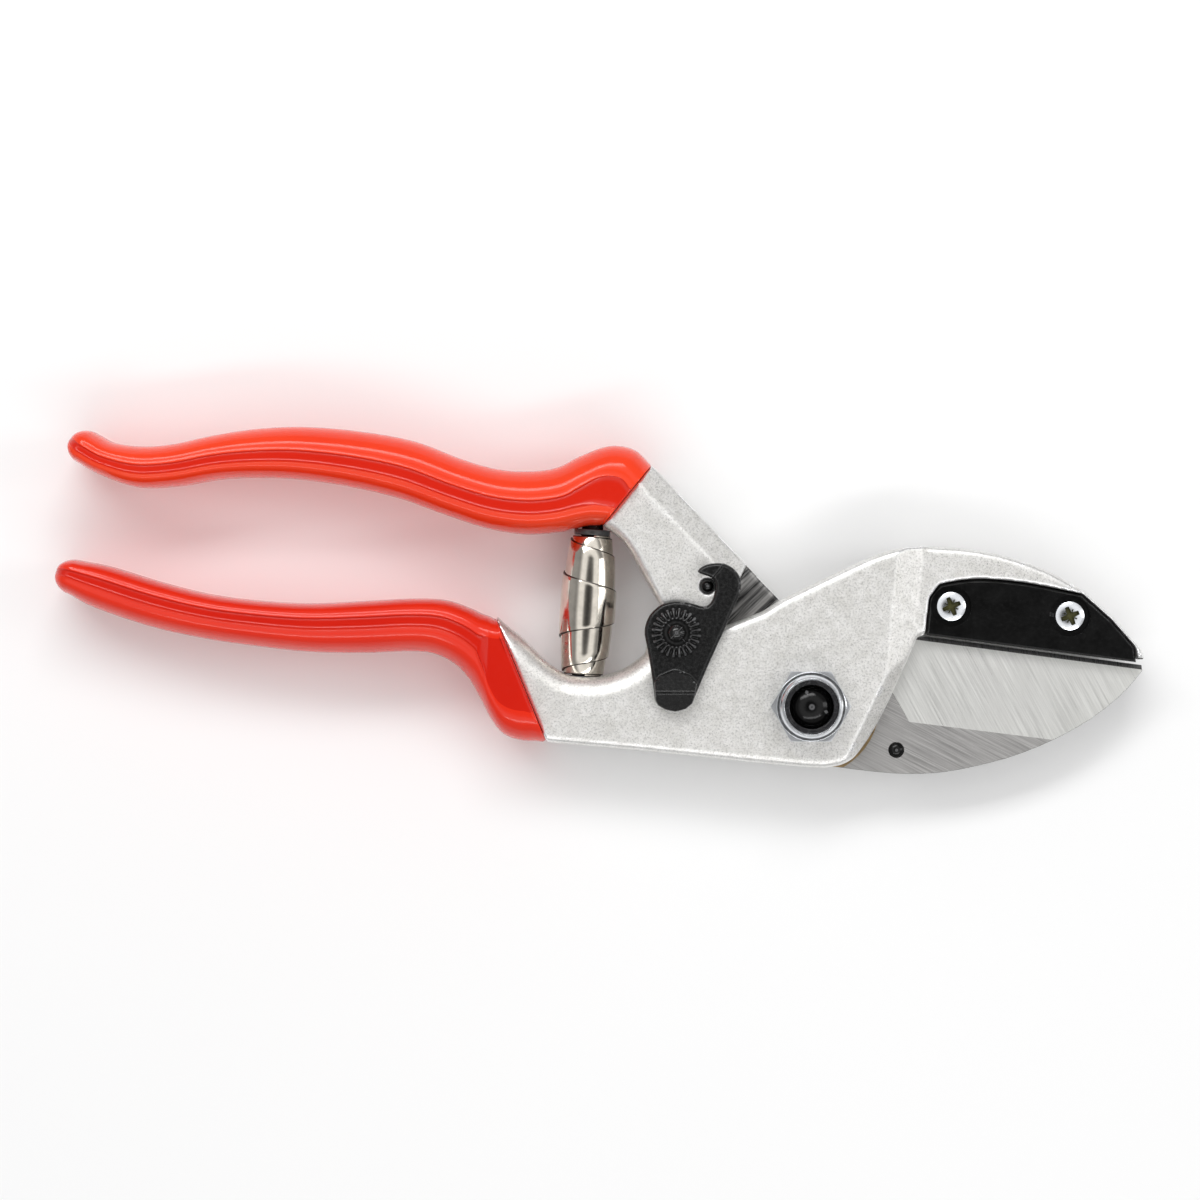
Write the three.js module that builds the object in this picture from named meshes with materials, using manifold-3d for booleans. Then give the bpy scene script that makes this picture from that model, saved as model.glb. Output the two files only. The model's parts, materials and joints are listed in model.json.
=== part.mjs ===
// Anvil pruning shears, closed and latched. Millimetres, +Z up.
// The shears lie flat. The origin is on the pivot axis, on the flat face of the pivot bolt's head,
// +X points to the blade tip and +Y to the handle that carries the blade.
import * as THREE from 'three';
import { mergeVertices } from 'three/addons/utils/BufferGeometryUtils.js';
import Module from 'manifold-3d';

const wasm = await Module();
wasm.setup();

// ---- driving dimensions: the stack of layers along Z ----
const GRIP_HALF_HEIGHT = 9;
const MID_Z = 9;
const HEAD_TOP = 2.4;
const BOLT_WASHER_TOP = 3.0;
const HANDLE_BOTTOM = 2;
const HANDLE_TOP = 16.1;
const BLADE_BOTTOM = 7.5;
const BLADE_TOP = 10.5;
const STEP_FLOOR = 10.3;
const LINER_BOTTOM = 10.55;
const LINER_TOP = 11.05;
const PLATE_BOTTOM = 11.1;
const JAW_BOTTOM = 3.5;
const JAW_FLANGE_TOP = 8.2;
const JAW_TOP = 13.5;
const ANVIL_BOTTOM = 8.5;
const ANVIL_RIB_BOTTOM = 5;
const ANVIL_TOP = 13;
const CATCH_BOTTOM = 16.4;
const CATCH_TOP = 18.8;
const CATCH_TIP_BOTTOM = 17.65;
const CATCH_TIP_TOP = 19.3;
const CATCH_PIN_BOTTOM = 11;
const CATCH_PIN_TOP = 17.4;

// ---- driving dimensions: fasteners and running gear ----
const PIVOT = new THREE.Vector2(0, 0);
const BOLT_RADIUS = 4;
const BOLT_HEAD_RADIUS = 7;
const BOLT_END = 22.6;
const NUT_COLLAR_RADIUS = 5.84;
const NUT_INSERT_RADIUS = 4.95;
const LAYER_GAP = 0.05;
const NUT_ACROSS_FLATS = 13;
const NUT_HEX_TOP = 21.2;
const NUT_TOP = 23.2;
const BUSH_OUTER = 5.5;
const LINER_RADIUS = 13.5;
const BOSS_RADIUS = 11.3;
const CATCH_PIVOT = new THREE.Vector2(-25, 13.7);
const CATCH_BOSS_RADIUS = 5;
const CATCH_PIN = new THREE.Vector2(-19.1, 22.4);
const CATCH_PIN_RADIUS = 1.25;
const RIVET = new THREE.Vector2(16.7, -8.5);
const RIVET_RADIUS = 1.38;
const REAR_SCREW = new THREE.Vector2(26.9, 18.6);
const FRONT_SCREW = new THREE.Vector2(49.2, 16.8);
const SCREW_HEAD_RADIUS = 2.8;
const SCREW_SHANK_RADIUS = 1.6;
const CATCH_WASHER_RADIUS = 3.2;
const COUNTERBORE_RADIUS = 3.9;
const SPRING_FOOT = new THREE.Vector3(-42.5, 5.5, MID_Z);
const SPRING_HEAD = new THREE.Vector3(-40.7, 32, MID_Z);
const SEAT_RADIUS = 3.4;

// ---- driving dimensions: clearances and edge roundings ----
const GAP = 0.3;
const RUNNING_GAP = 0.08;
const FORGED_ROUND = 1.2;
const FAR = 200;
const MERGE_DISTANCE = 1e-4;
const SAME_POINT = 0.02;
const SHARPEST_CORNER = 0.4;
const ROUND_SEGMENTS = 48;
const SMALL_SEGMENTS = 28;

// ---- small helpers ----
const v2 = (x, y) => new THREE.Vector2(x, y);
const points2 = (pairs) => pairs.map(([x, y]) => v2(x, y));

// Points along a smooth curve through a few knots, without the last one when it starts the next stretch.
function smooth(pairs, divisions) {
  const knots = pairs.map(([x, y]) => new THREE.Vector3(x, y, 0));
  const curve = new THREE.CatmullRomCurve3(knots, false, 'centripetal');
  return curve.getPoints(divisions).map((p) => v2(p.x, p.y));
}

function arc(centre, radius, fromDeg, toDeg, divisions) {
  const list = [];
  for (let i = 0; i <= divisions; i += 1) {
    const angle = THREE.MathUtils.degToRad(fromDeg + ((toDeg - fromDeg) * i) / divisions);
    list.push(v2(centre.x + radius * Math.cos(angle), centre.y + radius * Math.sin(angle)));
  }
  return list;
}

// A closed three.js geometry as a solid, turned the right way out.
function solid(geometry) {
  const bare = geometry.clone();
  bare.deleteAttribute('normal');
  bare.deleteAttribute('uv');
  const plain = mergeVertices(bare, MERGE_DISTANCE);
  const position = plain.attributes.position;
  const index = Array.from(plain.index.array);
  const kept = [];
  for (let i = 0; i < index.length; i += 3) {
    const [a, b, c] = index.slice(i, i + 3);
    if (a !== b && b !== c && a !== c) kept.push(a, b, c);
  }
  if (signedVolume(position, kept) < 0) kept.reverse();
  const mesh = new wasm.Mesh({
    numProp: 3,
    vertProperties: new Float32Array(position.array),
    triVerts: new Uint32Array(kept),
  });
  mesh.merge();
  return new wasm.Manifold(mesh);
}

function signedVolume(position, index) {
  const corner = (i) => new THREE.Vector3().fromBufferAttribute(position, i);
  let volume = 0;
  for (let i = 0; i < index.length; i += 3) {
    const [a, b, c] = [corner(index[i]), corner(index[i + 1]), corner(index[i + 2])];
    volume += a.dot(b.cross(c)) / 6;
  }
  return volume;
}

function geometryOf(body) {
  const { vertProperties, triVerts, numProp } = body.getMesh();
  const flat = new Float32Array(triVerts.length * 3);
  triVerts.forEach((vertex, i) => {
    for (let axis = 0; axis < 3; axis += 1) flat[i * 3 + axis] = vertProperties[vertex * numProp + axis];
  });
  const geometry = new THREE.BufferGeometry();
  geometry.setAttribute('position', new THREE.BufferAttribute(flat, 3));
  geometry.computeVertexNormals();
  return geometry;
}

const union = (...bodies) => bodies.reduce((sum, body) => sum.add(body));
const cut = (body, ...tools) => tools.reduce((rest, tool) => rest.subtract(tool), body);

// A plan outline grown outwards by a distance, corner by corner.
function grown(outline, distance) {
  const turn = THREE.ShapeUtils.area(outline) > 0 ? 1 : -1;
  return outline.map((p, i) => {
    const before = outline[(i + outline.length - 1) % outline.length];
    const after = outline[(i + 1) % outline.length];
    const a = p.clone().sub(before).normalize();
    const b = after.clone().sub(p).normalize();
    const normal = v2(a.y + b.y, -a.x - b.x).multiplyScalar(turn).normalize();
    const spread = Math.max(SHARPEST_CORNER, normal.dot(v2(a.y, -a.x).multiplyScalar(turn)));
    return p.clone().add(normal.multiplyScalar(distance / spread));
  });
}

// A flat outline made solid between two heights. round is the edge rounding on both faces.
function slab(outline, bottom, top, round = 0, roundSteps = 2) {
  const corners = outline.filter((p, i) => p.distanceTo(outline[(i + 1) % outline.length]) > SAME_POINT);
  if (THREE.ShapeUtils.area(corners) < 0) corners.reverse();
  const layers = round > 0 ? [] : [[0, bottom], [0, top]];
  for (let i = 0; round > 0 && i <= roundSteps; i += 1) {
    const angle = (Math.PI / 2) * (i / roundSteps);
    const layer = [round * (1 - Math.sin(angle)), round * (1 - Math.cos(angle))];
    layers.splice(i, 0, [layer[0], bottom + layer[1]]);
    layers.splice(layers.length - i, 0, [layer[0], top - layer[1]]);
  }
  const rings = layers.map(([inset, z]) => grown(corners, -inset).map((p) => new THREE.Vector3(p.x, p.y, z)));
  return loft(rings, THREE.ShapeUtils.triangulateShape(corners, []));
}

// A body turned about Z: profile is [radius, height] pairs, on the axis at both ends or closed.
function turned(profile, centre = PIVOT, segments = ROUND_SEGMENTS) {
  const geometry = new THREE.LatheGeometry(points2(profile), segments);
  geometry.rotateX(Math.PI / 2);
  geometry.translate(centre.x, centre.y, 0);
  return solid(geometry);
}

const rod = (radius, bottom, top, centre = PIVOT, segments = ROUND_SEGMENTS) =>
  turned([[0, bottom], [radius, bottom], [radius, top], [0, top]], centre, segments);

const ring = (inner, outer, bottom, top, centre = PIVOT, segments = ROUND_SEGMENTS) =>
  turned([[inner, bottom], [outer, bottom], [outer, top], [inner, top], [inner, bottom]], centre, segments);

// A big block above a sloping plane. The plane holds the line from a to b at the given height
// and falls away by the slope to the right of that line (seen from above, looking from a to b).
function blockAboveSlope(a, b, height, slopeDeg) {
  const geometry = new THREE.BoxGeometry(FAR, FAR, FAR);
  geometry.translate(0, -FAR / 2, FAR / 2);
  geometry.rotateX(THREE.MathUtils.degToRad(slopeDeg));
  geometry.rotateZ(Math.atan2(b.y - a.y, b.x - a.x));
  geometry.translate((a.x + b.x) / 2, (a.y + b.y) / 2, height);
  return solid(geometry);
}

// Rings of equal length joined into one closed body. cap lists the triangles over the two ends,
// and an end with no list is closed by a fan.
function loft(rings, cap = null) {
  const count = rings[0].length;
  const fan = Array.from({ length: count - 2 }, (_, i) => [0, i + 1, i + 2]);
  const index = [];
  for (let r = 0; r + 1 < rings.length; r += 1) {
    for (let i = 0; i < count; i += 1) {
      const a = r * count + i;
      const b = r * count + ((i + 1) % count);
      index.push(a, b, b + count, a, b + count, a + count);
    }
  }
  const lastRing = (rings.length - 1) * count;
  for (const [a, b, c] of cap ?? fan) {
    index.push(a, c, b);
    index.push(lastRing + a, lastRing + b, lastRing + c);
  }
  const geometry = new THREE.BufferGeometry().setFromPoints(rings.flat());
  geometry.setIndex(index);
  return solid(geometry);
}

// ---- grips and tangs ----
// A handle is a row of chords. Each runs from the palm side to the side that faces the other handle.
const BLADE_GRIP_PALM = [
  [-134.0, 51.1], [-130.5, 49.4], [-125, 48.8], [-119.3, 49.3], [-112, 50.9], [-104, 52.1], [-95, 52.5],
  [-84.1, 51.6], [-74, 49.7], [-65, 46.3], [-58.5, 44.5], [-52.5, 44.1], [-47.4, 44.8], [-43.3, 46.8],
  [-38.8, 48.6], [-35.6, 48.9], [-32.4, 48], [-29.6, 45.4],
];
const BLADE_GRIP_INNER = [
  [-138.0, 45.9], [-133.5, 43.4], [-126.5, 41.1], [-119, 41.3], [-110.8, 42.6], [-103, 42.9], [-95.2, 42.5],
  [-86, 41.1], [-77.2, 39], [-68.8, 36], [-60.5, 33.3], [-53.2, 32.2], [-47, 32.6], [-43.7, 33.3],
  [-41.6, 33.75], [-40.4, 33.8], [-39.5, 33.85], [-38.9, 33.9],
];
const ANVIL_GRIP_PALM = [
  [-139.4, 20.9], [-134.4, 18.3], [-124.4, 14.9], [-114.3, 12.6], [-104.3, 11.1], [-94.1, 10], [-84.1, 9.8],
  [-75, 10.1], [-70.4, 9.6], [-66.6, 7.7], [-64, 5], [-61.8, 1.2], [-59.9, -2.5], [-57.5, -5.4],
  [-54, -6.7], [-49.5, -6.8],
];
const ANVIL_GRIP_INNER = [
  [-137.4, 27.3], [-131.5, 26.1], [-122, 23.2], [-112.6, 20.9], [-103.3, 19.7], [-93.7, 19.2], [-84.3, 19.6],
  [-74.5, 20.1], [-68.3, 19.8], [-64, 18.4], [-61.4, 17.2], [-60.2, 16.8], [-59.8, 16.6], [-59.5, 16.45],
  [-59.2, 16.3], [-58.9, 16.2],
];
const PALM_BAND = [0.48, 5.2];
const INNER_BAND = [0.3, 3];
const SECTION_STEPS = 4;
const SECTION_POWER = 2.4;
const REAR_CAP_STEPS = 4;
const REAR_CAP_FULLNESS = 0.6;
const TANG_INSET = 2.2;
const TANG_HALF_HEIGHT = 5;
const TANG_FIRST_CHORD = 1;
const TANG_REACH = 3;
const TANG_NOSE_SCALE = 0.7;

// One closed ring of a grip's section, standing on the chord from palm to inner.
function gripRing(palm, inner, halfHeight) {
  const length = palm.distanceTo(inner);
  const palmBand = Math.min(PALM_BAND[0] * length, PALM_BAND[1]);
  const innerBand = Math.min(INNER_BAND[0] * length, INNER_BAND[1]);
  const upper = [];
  for (let i = 0; i <= SECTION_STEPS; i += 1) {
    const angle = (Math.PI / 2) * (i / SECTION_STEPS);
    const reach = 1 - Math.cos(angle) ** (2 / SECTION_POWER);
    upper.push([palmBand * reach, halfHeight * Math.sin(angle) ** (2 / SECTION_POWER)]);
  }
  for (let i = SECTION_STEPS; i >= 0; i -= 1) {
    const angle = (Math.PI / 2) * (i / SECTION_STEPS);
    const reach = 1 - Math.cos(angle) ** (2 / SECTION_POWER);
    upper.push([length - innerBand * reach, halfHeight * Math.sin(angle) ** (2 / SECTION_POWER)]);
  }
  const lower = upper.slice(1, -1).reverse().map(([t, h]) => [t, -h]);
  const along = inner.clone().sub(palm).divideScalar(length);
  return [...upper, ...lower].map(
    ([t, h]) => new THREE.Vector3(palm.x + along.x * t, palm.y + along.y * t, MID_Z + h),
  );
}

// The chords of a handle, smoothed and grown (or shrunk) by an offset along each chord.
function chords(palmPairs, innerPairs, offset, divisions) {
  const palm = smooth(palmPairs, divisions);
  const inner = smooth(innerPairs, divisions);
  return palm.map((p, i) => {
    const along = inner[i].clone().sub(p).normalize().multiplyScalar(offset);
    return [p.clone().sub(along), inner[i].clone().add(along)];
  });
}

// The chord moved square to itself, towards the pivot for a positive distance.
function shifted([palm, inner], distance) {
  const along = inner.clone().sub(palm).normalize();
  const forward = v2(-along.y, along.x).multiplyScalar(-along.y > 0 ? distance : -distance);
  return [palm.clone().add(forward), inner.clone().add(forward)];
}

function shrunk([palm, inner], scale) {
  const middle = palm.clone().add(inner).multiplyScalar(0.5);
  return [palm.clone().sub(middle).multiplyScalar(scale).add(middle),
    inner.clone().sub(middle).multiplyScalar(scale).add(middle)];
}

// The outer body of a grip, round at the rear.
function gripBody(palmPairs, innerPairs) {
  const list = chords(palmPairs, innerPairs, 0, 2 * (palmPairs.length - 1));
  const capRadius = list[0][0].distanceTo(list[0][1]) / 2;
  const rings = [];
  for (let i = 1; i <= REAR_CAP_STEPS; i += 1) {
    const angle = (Math.PI / 2) * (i / (REAR_CAP_STEPS + 0.5));
    const chord = shifted(shrunk(list[0], Math.sin(angle)), -capRadius * Math.cos(angle));
    rings.push(gripRing(...chord, GRIP_HALF_HEIGHT * Math.sin(angle) ** REAR_CAP_FULLNESS));
  }
  list.forEach((chord) => rings.push(gripRing(...chord, GRIP_HALF_HEIGHT)));
  return loft(rings);
}

// Everything behind a grip's front face, moved on by a gap: the bare forging starts in front of it.
function behindGrip(palmPairs, innerPairs) {
  const front = [v2(...palmPairs.at(-1)), v2(...innerPairs.at(-1))];
  const [palm, inner] = shifted(front, GAP);
  const along = inner.clone().sub(palm).normalize().multiplyScalar(FAR);
  const wide = [palm.clone().sub(along), inner.clone().add(along)];
  return slab([...wide, ...shifted(wide, -FAR).reverse()], -1, FAR);
}

// The tang: a chamfered bar on the same chords, running on into the handle at the front.
function tangBody(palmPairs, innerPairs, grow = 0) {
  const list = chords(palmPairs, innerPairs, grow - TANG_INSET, palmPairs.length - 1);
  const half = TANG_HALF_HEIGHT + grow;
  const bar = ([palm, inner]) => {
    const length = palm.distanceTo(inner);
    const along = inner.clone().sub(palm).divideScalar(length);
    const bevel = 1;
    const section = [
      [0, bevel - half], [0, half - bevel], [bevel, half], [length - bevel, half],
      [length, half - bevel], [length, bevel - half], [length - bevel, -half], [bevel, -half],
    ];
    return section.map(([t, h]) => new THREE.Vector3(palm.x + along.x * t, palm.y + along.y * t, MID_Z + h));
  };
  const kept = list.slice(TANG_FIRST_CHORD);
  const rings = kept.map(bar);
  rings.unshift(bar(shifted(kept[0], -grow - 0.01)));
  rings.push(bar(shrunk(shifted(list[list.length - 1], TANG_REACH), TANG_NOSE_SCALE)));
  return loft(rings);
}

// ---- spring and its seats, along the axis from foot to head ----
const springAxis = SPRING_HEAD.clone().sub(SPRING_FOOT).normalize();
const SPRING_LENGTH = SPRING_HEAD.distanceTo(SPRING_FOOT);

// A body turned about the spring's axis. Heights count from the foot.
function turnedOnSpring(profile, segments = SMALL_SEGMENTS) {
  const geometry = new THREE.LatheGeometry(points2(profile), segments);
  geometry.applyQuaternion(new THREE.Quaternion().setFromUnitVectors(new THREE.Vector3(0, 1, 0), springAxis));
  geometry.translate(SPRING_FOOT.x, SPRING_FOOT.y, SPRING_FOOT.z);
  return solid(geometry);
}

const SEAT_SPIGOT_RADIUS = 2;
const SEAT_SPIGOT_LENGTH = 3;
const SEAT_FLANGE = 1.1;
const SEAT_STEM = 3;

// side is -1 for the seat at the foot, +1 for the seat at the head.
function seatBody(side, grow = 0) {
  const face = side > 0 ? SPRING_LENGTH : 0;
  const at = (outward) => face + side * outward;
  return turnedOnSpring([
    [0, at(-SEAT_SPIGOT_LENGTH)],
    [SEAT_SPIGOT_RADIUS, at(-SEAT_SPIGOT_LENGTH)],
    [SEAT_SPIGOT_RADIUS, at(-grow)],
    [SEAT_RADIUS + grow, at(-grow)],
    [SEAT_RADIUS + grow, at(SEAT_FLANGE + grow)],
    [SEAT_SPIGOT_RADIUS + grow, at(SEAT_FLANGE + grow)],
    [SEAT_SPIGOT_RADIUS + grow, at(SEAT_FLANGE + SEAT_STEM + grow)],
    [0, at(SEAT_FLANGE + SEAT_STEM + grow)],
  ]);
}

// The spring's two nested coils as one open tube: outside and inside profiles, [radius, height].
const SPRING_FACE = 0.06;
const SPRING_OUTSIDE = [[3.2, SPRING_FACE], [3.2, 1.7], [4.6, 1.7], [4.7, 8], [5.3, 8.5], [5.3, 19],
  [4.9, 19.6], [4.2, 25.2], [3.2, 25.2], [3.2, SPRING_LENGTH - SPRING_FACE]];
const SPRING_INSIDE = [[2.4, SPRING_LENGTH - SPRING_FACE], [2.4, 24.4], [3.4, 24.4], [4.1, 19.3], [4.5, 18.6],
  [4.5, 8.9], [3.9, 8.3], [3.8, 2.5], [2.4, 2.5], [2.4, SPRING_FACE]];
const springBody = () => turnedOnSpring([...SPRING_OUTSIDE, ...SPRING_INSIDE, SPRING_OUTSIDE[0]]);

// ---- anvil handle ----
const THROAT = [[-62, 20.5], [-58, 16], [-53.5, 12.2], [-49.3, 8.1], [-45.7, 5.8], [-42, 5.3], [-38.4, 5.5],
  [-34.3, 7], [-30.7, 9.6]];
const PLATE_BACK_EDGE = [[-19.5, 14.0], [-15, 15.2], [-8.6, 17.7]];
const CREST = [[-5.3, 19.8], [0, 22.4], [5, 24.8], [12.4, 28.2], [17.5, 29.6], [22.4, 29.9], [30.1, 29.4],
  [37.7, 27.9], [45.2, 25.2], [51.8, 21.5]];
const NOSE = [[57.2, 16.6], [61.7, 11.6], [63.1, 9.8], [63.1, 8.6]];
const PLATE_FRONT_EDGE = [[20.5, 13], [17.5, 6.3], [14.5, -0.3], [12.3, -4.4], [10.1, -7.7], [8.1, -10],
  [6, -11.1], [3, -11.7]];
const PLATE_BOTTOM_EDGE = [[0, -11.6], [-10, -10.7], [-20, -9.6], [-31.6, -8.4], [-49.5, -6.8], [-58, -6.2]];
const ANVIL_LINE = [[22.2, 13.2], [61.6, 8.6]];
const RIB_HEIGHT = 4;
const RIB_FRONT = 59.5;
const JAW_REAR = 17;
const CREASE_UPPER = [v2(16.3, 27), v2(14.3, 5.5)];
const CREASE_LOWER = [v2(14.3, 5.5), v2(8.5, -6.5)];
const CREASE_SLOPE = 27;
const LOWER_CREASE_SLOPE = 42;

const bossLeft = arc(CATCH_PIVOT, CATCH_BOSS_RADIUS, 190, 60, 12);
const plateOutline = [
  ...smooth(THROAT, 22), ...bossLeft, ...smooth(PLATE_BACK_EDGE, 4), ...smooth(CREST, 20),
  ...points2([[48, 15]]), ...smooth(PLATE_FRONT_EDGE, 16), ...points2(PLATE_BOTTOM_EDGE),
];
const jawOutline = [
  v2(JAW_REAR, 13.7), v2(JAW_REAR, 29.45), ...smooth(CREST.slice(5), 12), ...points2(NOSE),
  ...points2(ANVIL_LINE).reverse(),
];

// The anvil's plan, from the rear corner over the top to the tip.
const ANVIL_REAR = [[22.2, 13.2], [22.6, 17], [23, 20.2]];
const ANVIL_TOP_EDGE = [[24.8, 22.6], [31, 23.5], [40, 22.9], [51.4, 20.7]];
const ANVIL_NOSE = [[56.8, 15.9], [61.2, 10.9], [61.6, 8.6]];
const anvilOutline = [...points2(ANVIL_REAR), ...smooth(ANVIL_TOP_EDGE, 10), ...points2(ANVIL_NOSE)];

const RIB_REAR_TOP = v2(22.7, 13.15 + RIB_HEIGHT);
const RIB_FRONT_FOOT = v2(RIB_FRONT, 8.85);
const ribOutline = [
  v2(ANVIL_LINE[0][0], ANVIL_LINE[0][1]), RIB_FRONT_FOOT, v2(RIB_FRONT, RIB_FRONT_FOOT.y + RIB_HEIGHT),
  RIB_REAR_TOP,
];

// Everything below the top plate that the blade and its handle need: the web keeps to the left of it.
const armSlot = [
  v2(-60, 60), v2(-28.7, 19.2), v2(-11.3, -4.1), ...arc(PIVOT, BOSS_RADIUS + 0.5, 202, 240, 6), v2(-4, -30),
  v2(120, -30), v2(120, 60),
];

function anvilHandle() {
  const forging = slab(plateOutline, HANDLE_BOTTOM, HANDLE_TOP, FORGED_ROUND);
  const underSlot = slab(armSlot, -1, PLATE_BOTTOM);
  const body = cut(
    forging,
    underSlot,
    blockAboveSlope(...CREASE_UPPER.slice().reverse(), HANDLE_TOP, CREASE_SLOPE),
    blockAboveSlope(...CREASE_LOWER.slice().reverse(), HANDLE_TOP, LOWER_CREASE_SLOPE),
  );
  const jaw = slab(jawOutline, JAW_BOTTOM, JAW_TOP, 1);
  const whole = union(
    cut(
      union(body, jaw),
      slab(grown(anvilOutline, GAP), JAW_FLANGE_TOP, FAR),
      slab(grown(ribOutline, GAP), -1, FAR),
      behindGrip(ANVIL_GRIP_PALM, ANVIL_GRIP_INNER),
    ),
    tangBody(ANVIL_GRIP_PALM, ANVIL_GRIP_INNER),
  );
  return cut(
    whole,
    rod(BOLT_RADIUS + 0.1, 0, FAR),
    rod(LINER_RADIUS + GAP, LINER_BOTTOM - GAP, PLATE_BOTTOM),
    rod(SCREW_SHANK_RADIUS + GAP, PLATE_BOTTOM - 1, FAR, CATCH_PIVOT, SMALL_SEGMENTS),
    rod(SCREW_SHANK_RADIUS + GAP, 0, FAR, REAR_SCREW, SMALL_SEGMENTS),
    rod(SCREW_SHANK_RADIUS + GAP, 0, FAR, FRONT_SCREW, SMALL_SEGMENTS),
    seatBody(-1, GAP),
  );
}

function anvilBody() {
  const plate = slab(anvilOutline, ANVIL_BOTTOM, ANVIL_TOP, 0.4, 1);
  const rib = slab(ribOutline, ANVIL_RIB_BOTTOM, ANVIL_BOTTOM + 1);
  return cut(
    union(plate, rib),
    ...[REAR_SCREW, FRONT_SCREW].flatMap((at) => [
      rod(COUNTERBORE_RADIUS, ANVIL_TOP - 1.5, FAR, at, SMALL_SEGMENTS),
      rod(SCREW_SHANK_RADIUS + GAP, 0, FAR, at, SMALL_SEGMENTS),
    ]),
  );
}

function anvilScrew(at) {
  const seat = ANVIL_TOP - 1.5 + 0.02;
  const head = turned([
    [0, 4.2], [SCREW_SHANK_RADIUS, 4.2], [SCREW_SHANK_RADIUS, seat], [SCREW_HEAD_RADIUS, seat],
    [SCREW_HEAD_RADIUS, seat + 0.9], [SCREW_HEAD_RADIUS - 0.5, seat + 1.3], [0, seat + 1.45],
  ], at, SMALL_SEGMENTS);
  const slotLength = 3.4;
  const slotWidth = 0.8;
  const slotDepth = 1.1;
  const cross = [0, Math.PI / 2].map((angle) => {
    const bar = new THREE.BoxGeometry(slotLength, slotWidth, 2 * slotDepth);
    bar.rotateZ(angle + Math.PI / 4);
    bar.translate(at.x, at.y, seat + 1.45);
    return solid(bar);
  });
  return cut(head, ...cross);
}

// ---- blade handle ----
const INNER_ARC = [[-28.2, 19.4], [-31.6, 25.4], [-33.9, 29.6], [-36.5, 32.4], [-39.5, 34.2]];
const OUTER_EDGE = [v2(-33.5, 49.4), v2(2.2, 12.0)];
const OUTER_BEVEL_WIDTH = 4.4;
const OUTER_BEVEL_SLOPE = 28;
const SHOULDER = [[-8, 33], [-11.2, 27.5], [-13.4, 23], [-16.6, 18.2], [-21.3, 12.5], [-25, 5]];
const RIVET_LOBE_RADIUS = 4;

const armOutline = [
  ...OUTER_EDGE, ...arc(PIVOT, BOSS_RADIUS, 62, 0, 8), ...arc(RIVET, RIVET_LOBE_RADIUS, 20, -100, 8),
  ...arc(PIVOT, BOSS_RADIUS, -70, -158, 10), ...smooth(INNER_ARC, 12), v2(-44, 38), v2(-44, 47),
];
const armStep = [...smooth(SHOULDER, 10), v2(-25, -40), v2(60, -40), v2(60, 33)];

function bladeHandle() {
  const forging = slab(armOutline, HANDLE_BOTTOM, HANDLE_TOP, FORGED_ROUND);
  const across = OUTER_EDGE[1].clone().sub(OUTER_EDGE[0]).normalize();
  const inwards = v2(across.y, -across.x).multiplyScalar(OUTER_BEVEL_WIDTH);
  const ridge = OUTER_EDGE.map((p) => p.clone().add(inwards));
  const body = cut(
    forging,
    blockAboveSlope(ridge[1], ridge[0], HANDLE_TOP, OUTER_BEVEL_SLOPE),
    slab(armStep, STEP_FLOOR, FAR),
    rod(CATCH_BOSS_RADIUS + 0.5, STEP_FLOOR, FAR, CATCH_PIVOT),
    slab(grown(bladeOutline, GAP), BLADE_BOTTOM, FAR),
    behindGrip(BLADE_GRIP_PALM, BLADE_GRIP_INNER),
  );
  return cut(
    union(body, tangBody(BLADE_GRIP_PALM, BLADE_GRIP_INNER)),
    rod(BUSH_OUTER + RUNNING_GAP, 0, FAR),
    rod(BOLT_HEAD_RADIUS + 1.2, 0, BOLT_WASHER_TOP + 0.05),
    rod(RIVET_RADIUS + RUNNING_GAP, 0, FAR, RIVET, SMALL_SEGMENTS),
    rod(CATCH_PIN_RADIUS + RUNNING_GAP, 10.9, FAR, CATCH_PIN, SMALL_SEGMENTS),
    seatBody(1, GAP),
  );
}

// ---- blade ----
const EDGE_HEEL = v2(22.5, 12.9);
const EDGE_TIP = v2(63.2, 7.5);
const BLADE_BACK = [[63.3, 6.4], [60, 2.6], [54, -2.3], [46.3, -6.6], [38.6, -9.7], [31, -11.7],
  [25.2, -12.7], [19.4, -13], [13.7, -12.7], [7, -11.9], [2.5, -11.3]];
const GRIND_START = v2(19.2, -3.2);
const GRIND_END = v2(46.3, -6.6);
const GRIND_RUN_OUT = v2(16, 2.3);
const GRIND_SLOPE = 4.6;
const MICRO_WIDTH = 1;
const MICRO_SLOPE = 12;
const bladeOutline = [
  EDGE_HEEL, EDGE_TIP, ...smooth(BLADE_BACK, 24), ...arc(PIVOT, BOSS_RADIUS, -90, -262, 20), v2(12, 11.7),
];

// The wedge that one grinding pass takes off a face: side is +1 for the top face, -1 for the bottom face.
function grindWedge(side) {
  const along = GRIND_END.clone().sub(GRIND_START).normalize();
  const across = v2(-along.y, along.x);
  const local = (p) => v2(p.clone().sub(GRIND_START).dot(along), p.clone().sub(GRIND_START).dot(across));
  const runOut = local(GRIND_RUN_OUT).multiplyScalar(6);
  const reach = 40;
  const shape = new THREE.Shape([v2(0, 0), v2(90, 0), v2(90, reach), v2(-30, reach), runOut]);
  const wedge = new THREE.ExtrudeGeometry(shape, { depth: 5, bevelEnabled: false });
  wedge.rotateX(-THREE.MathUtils.degToRad(GRIND_SLOPE));
  if (side < 0) wedge.scale(1, 1, -1);
  wedge.rotateZ(Math.atan2(along.y, along.x));
  wedge.translate(GRIND_START.x, GRIND_START.y, side > 0 ? BLADE_TOP : BLADE_BOTTOM);
  return solid(wedge);
}

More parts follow.
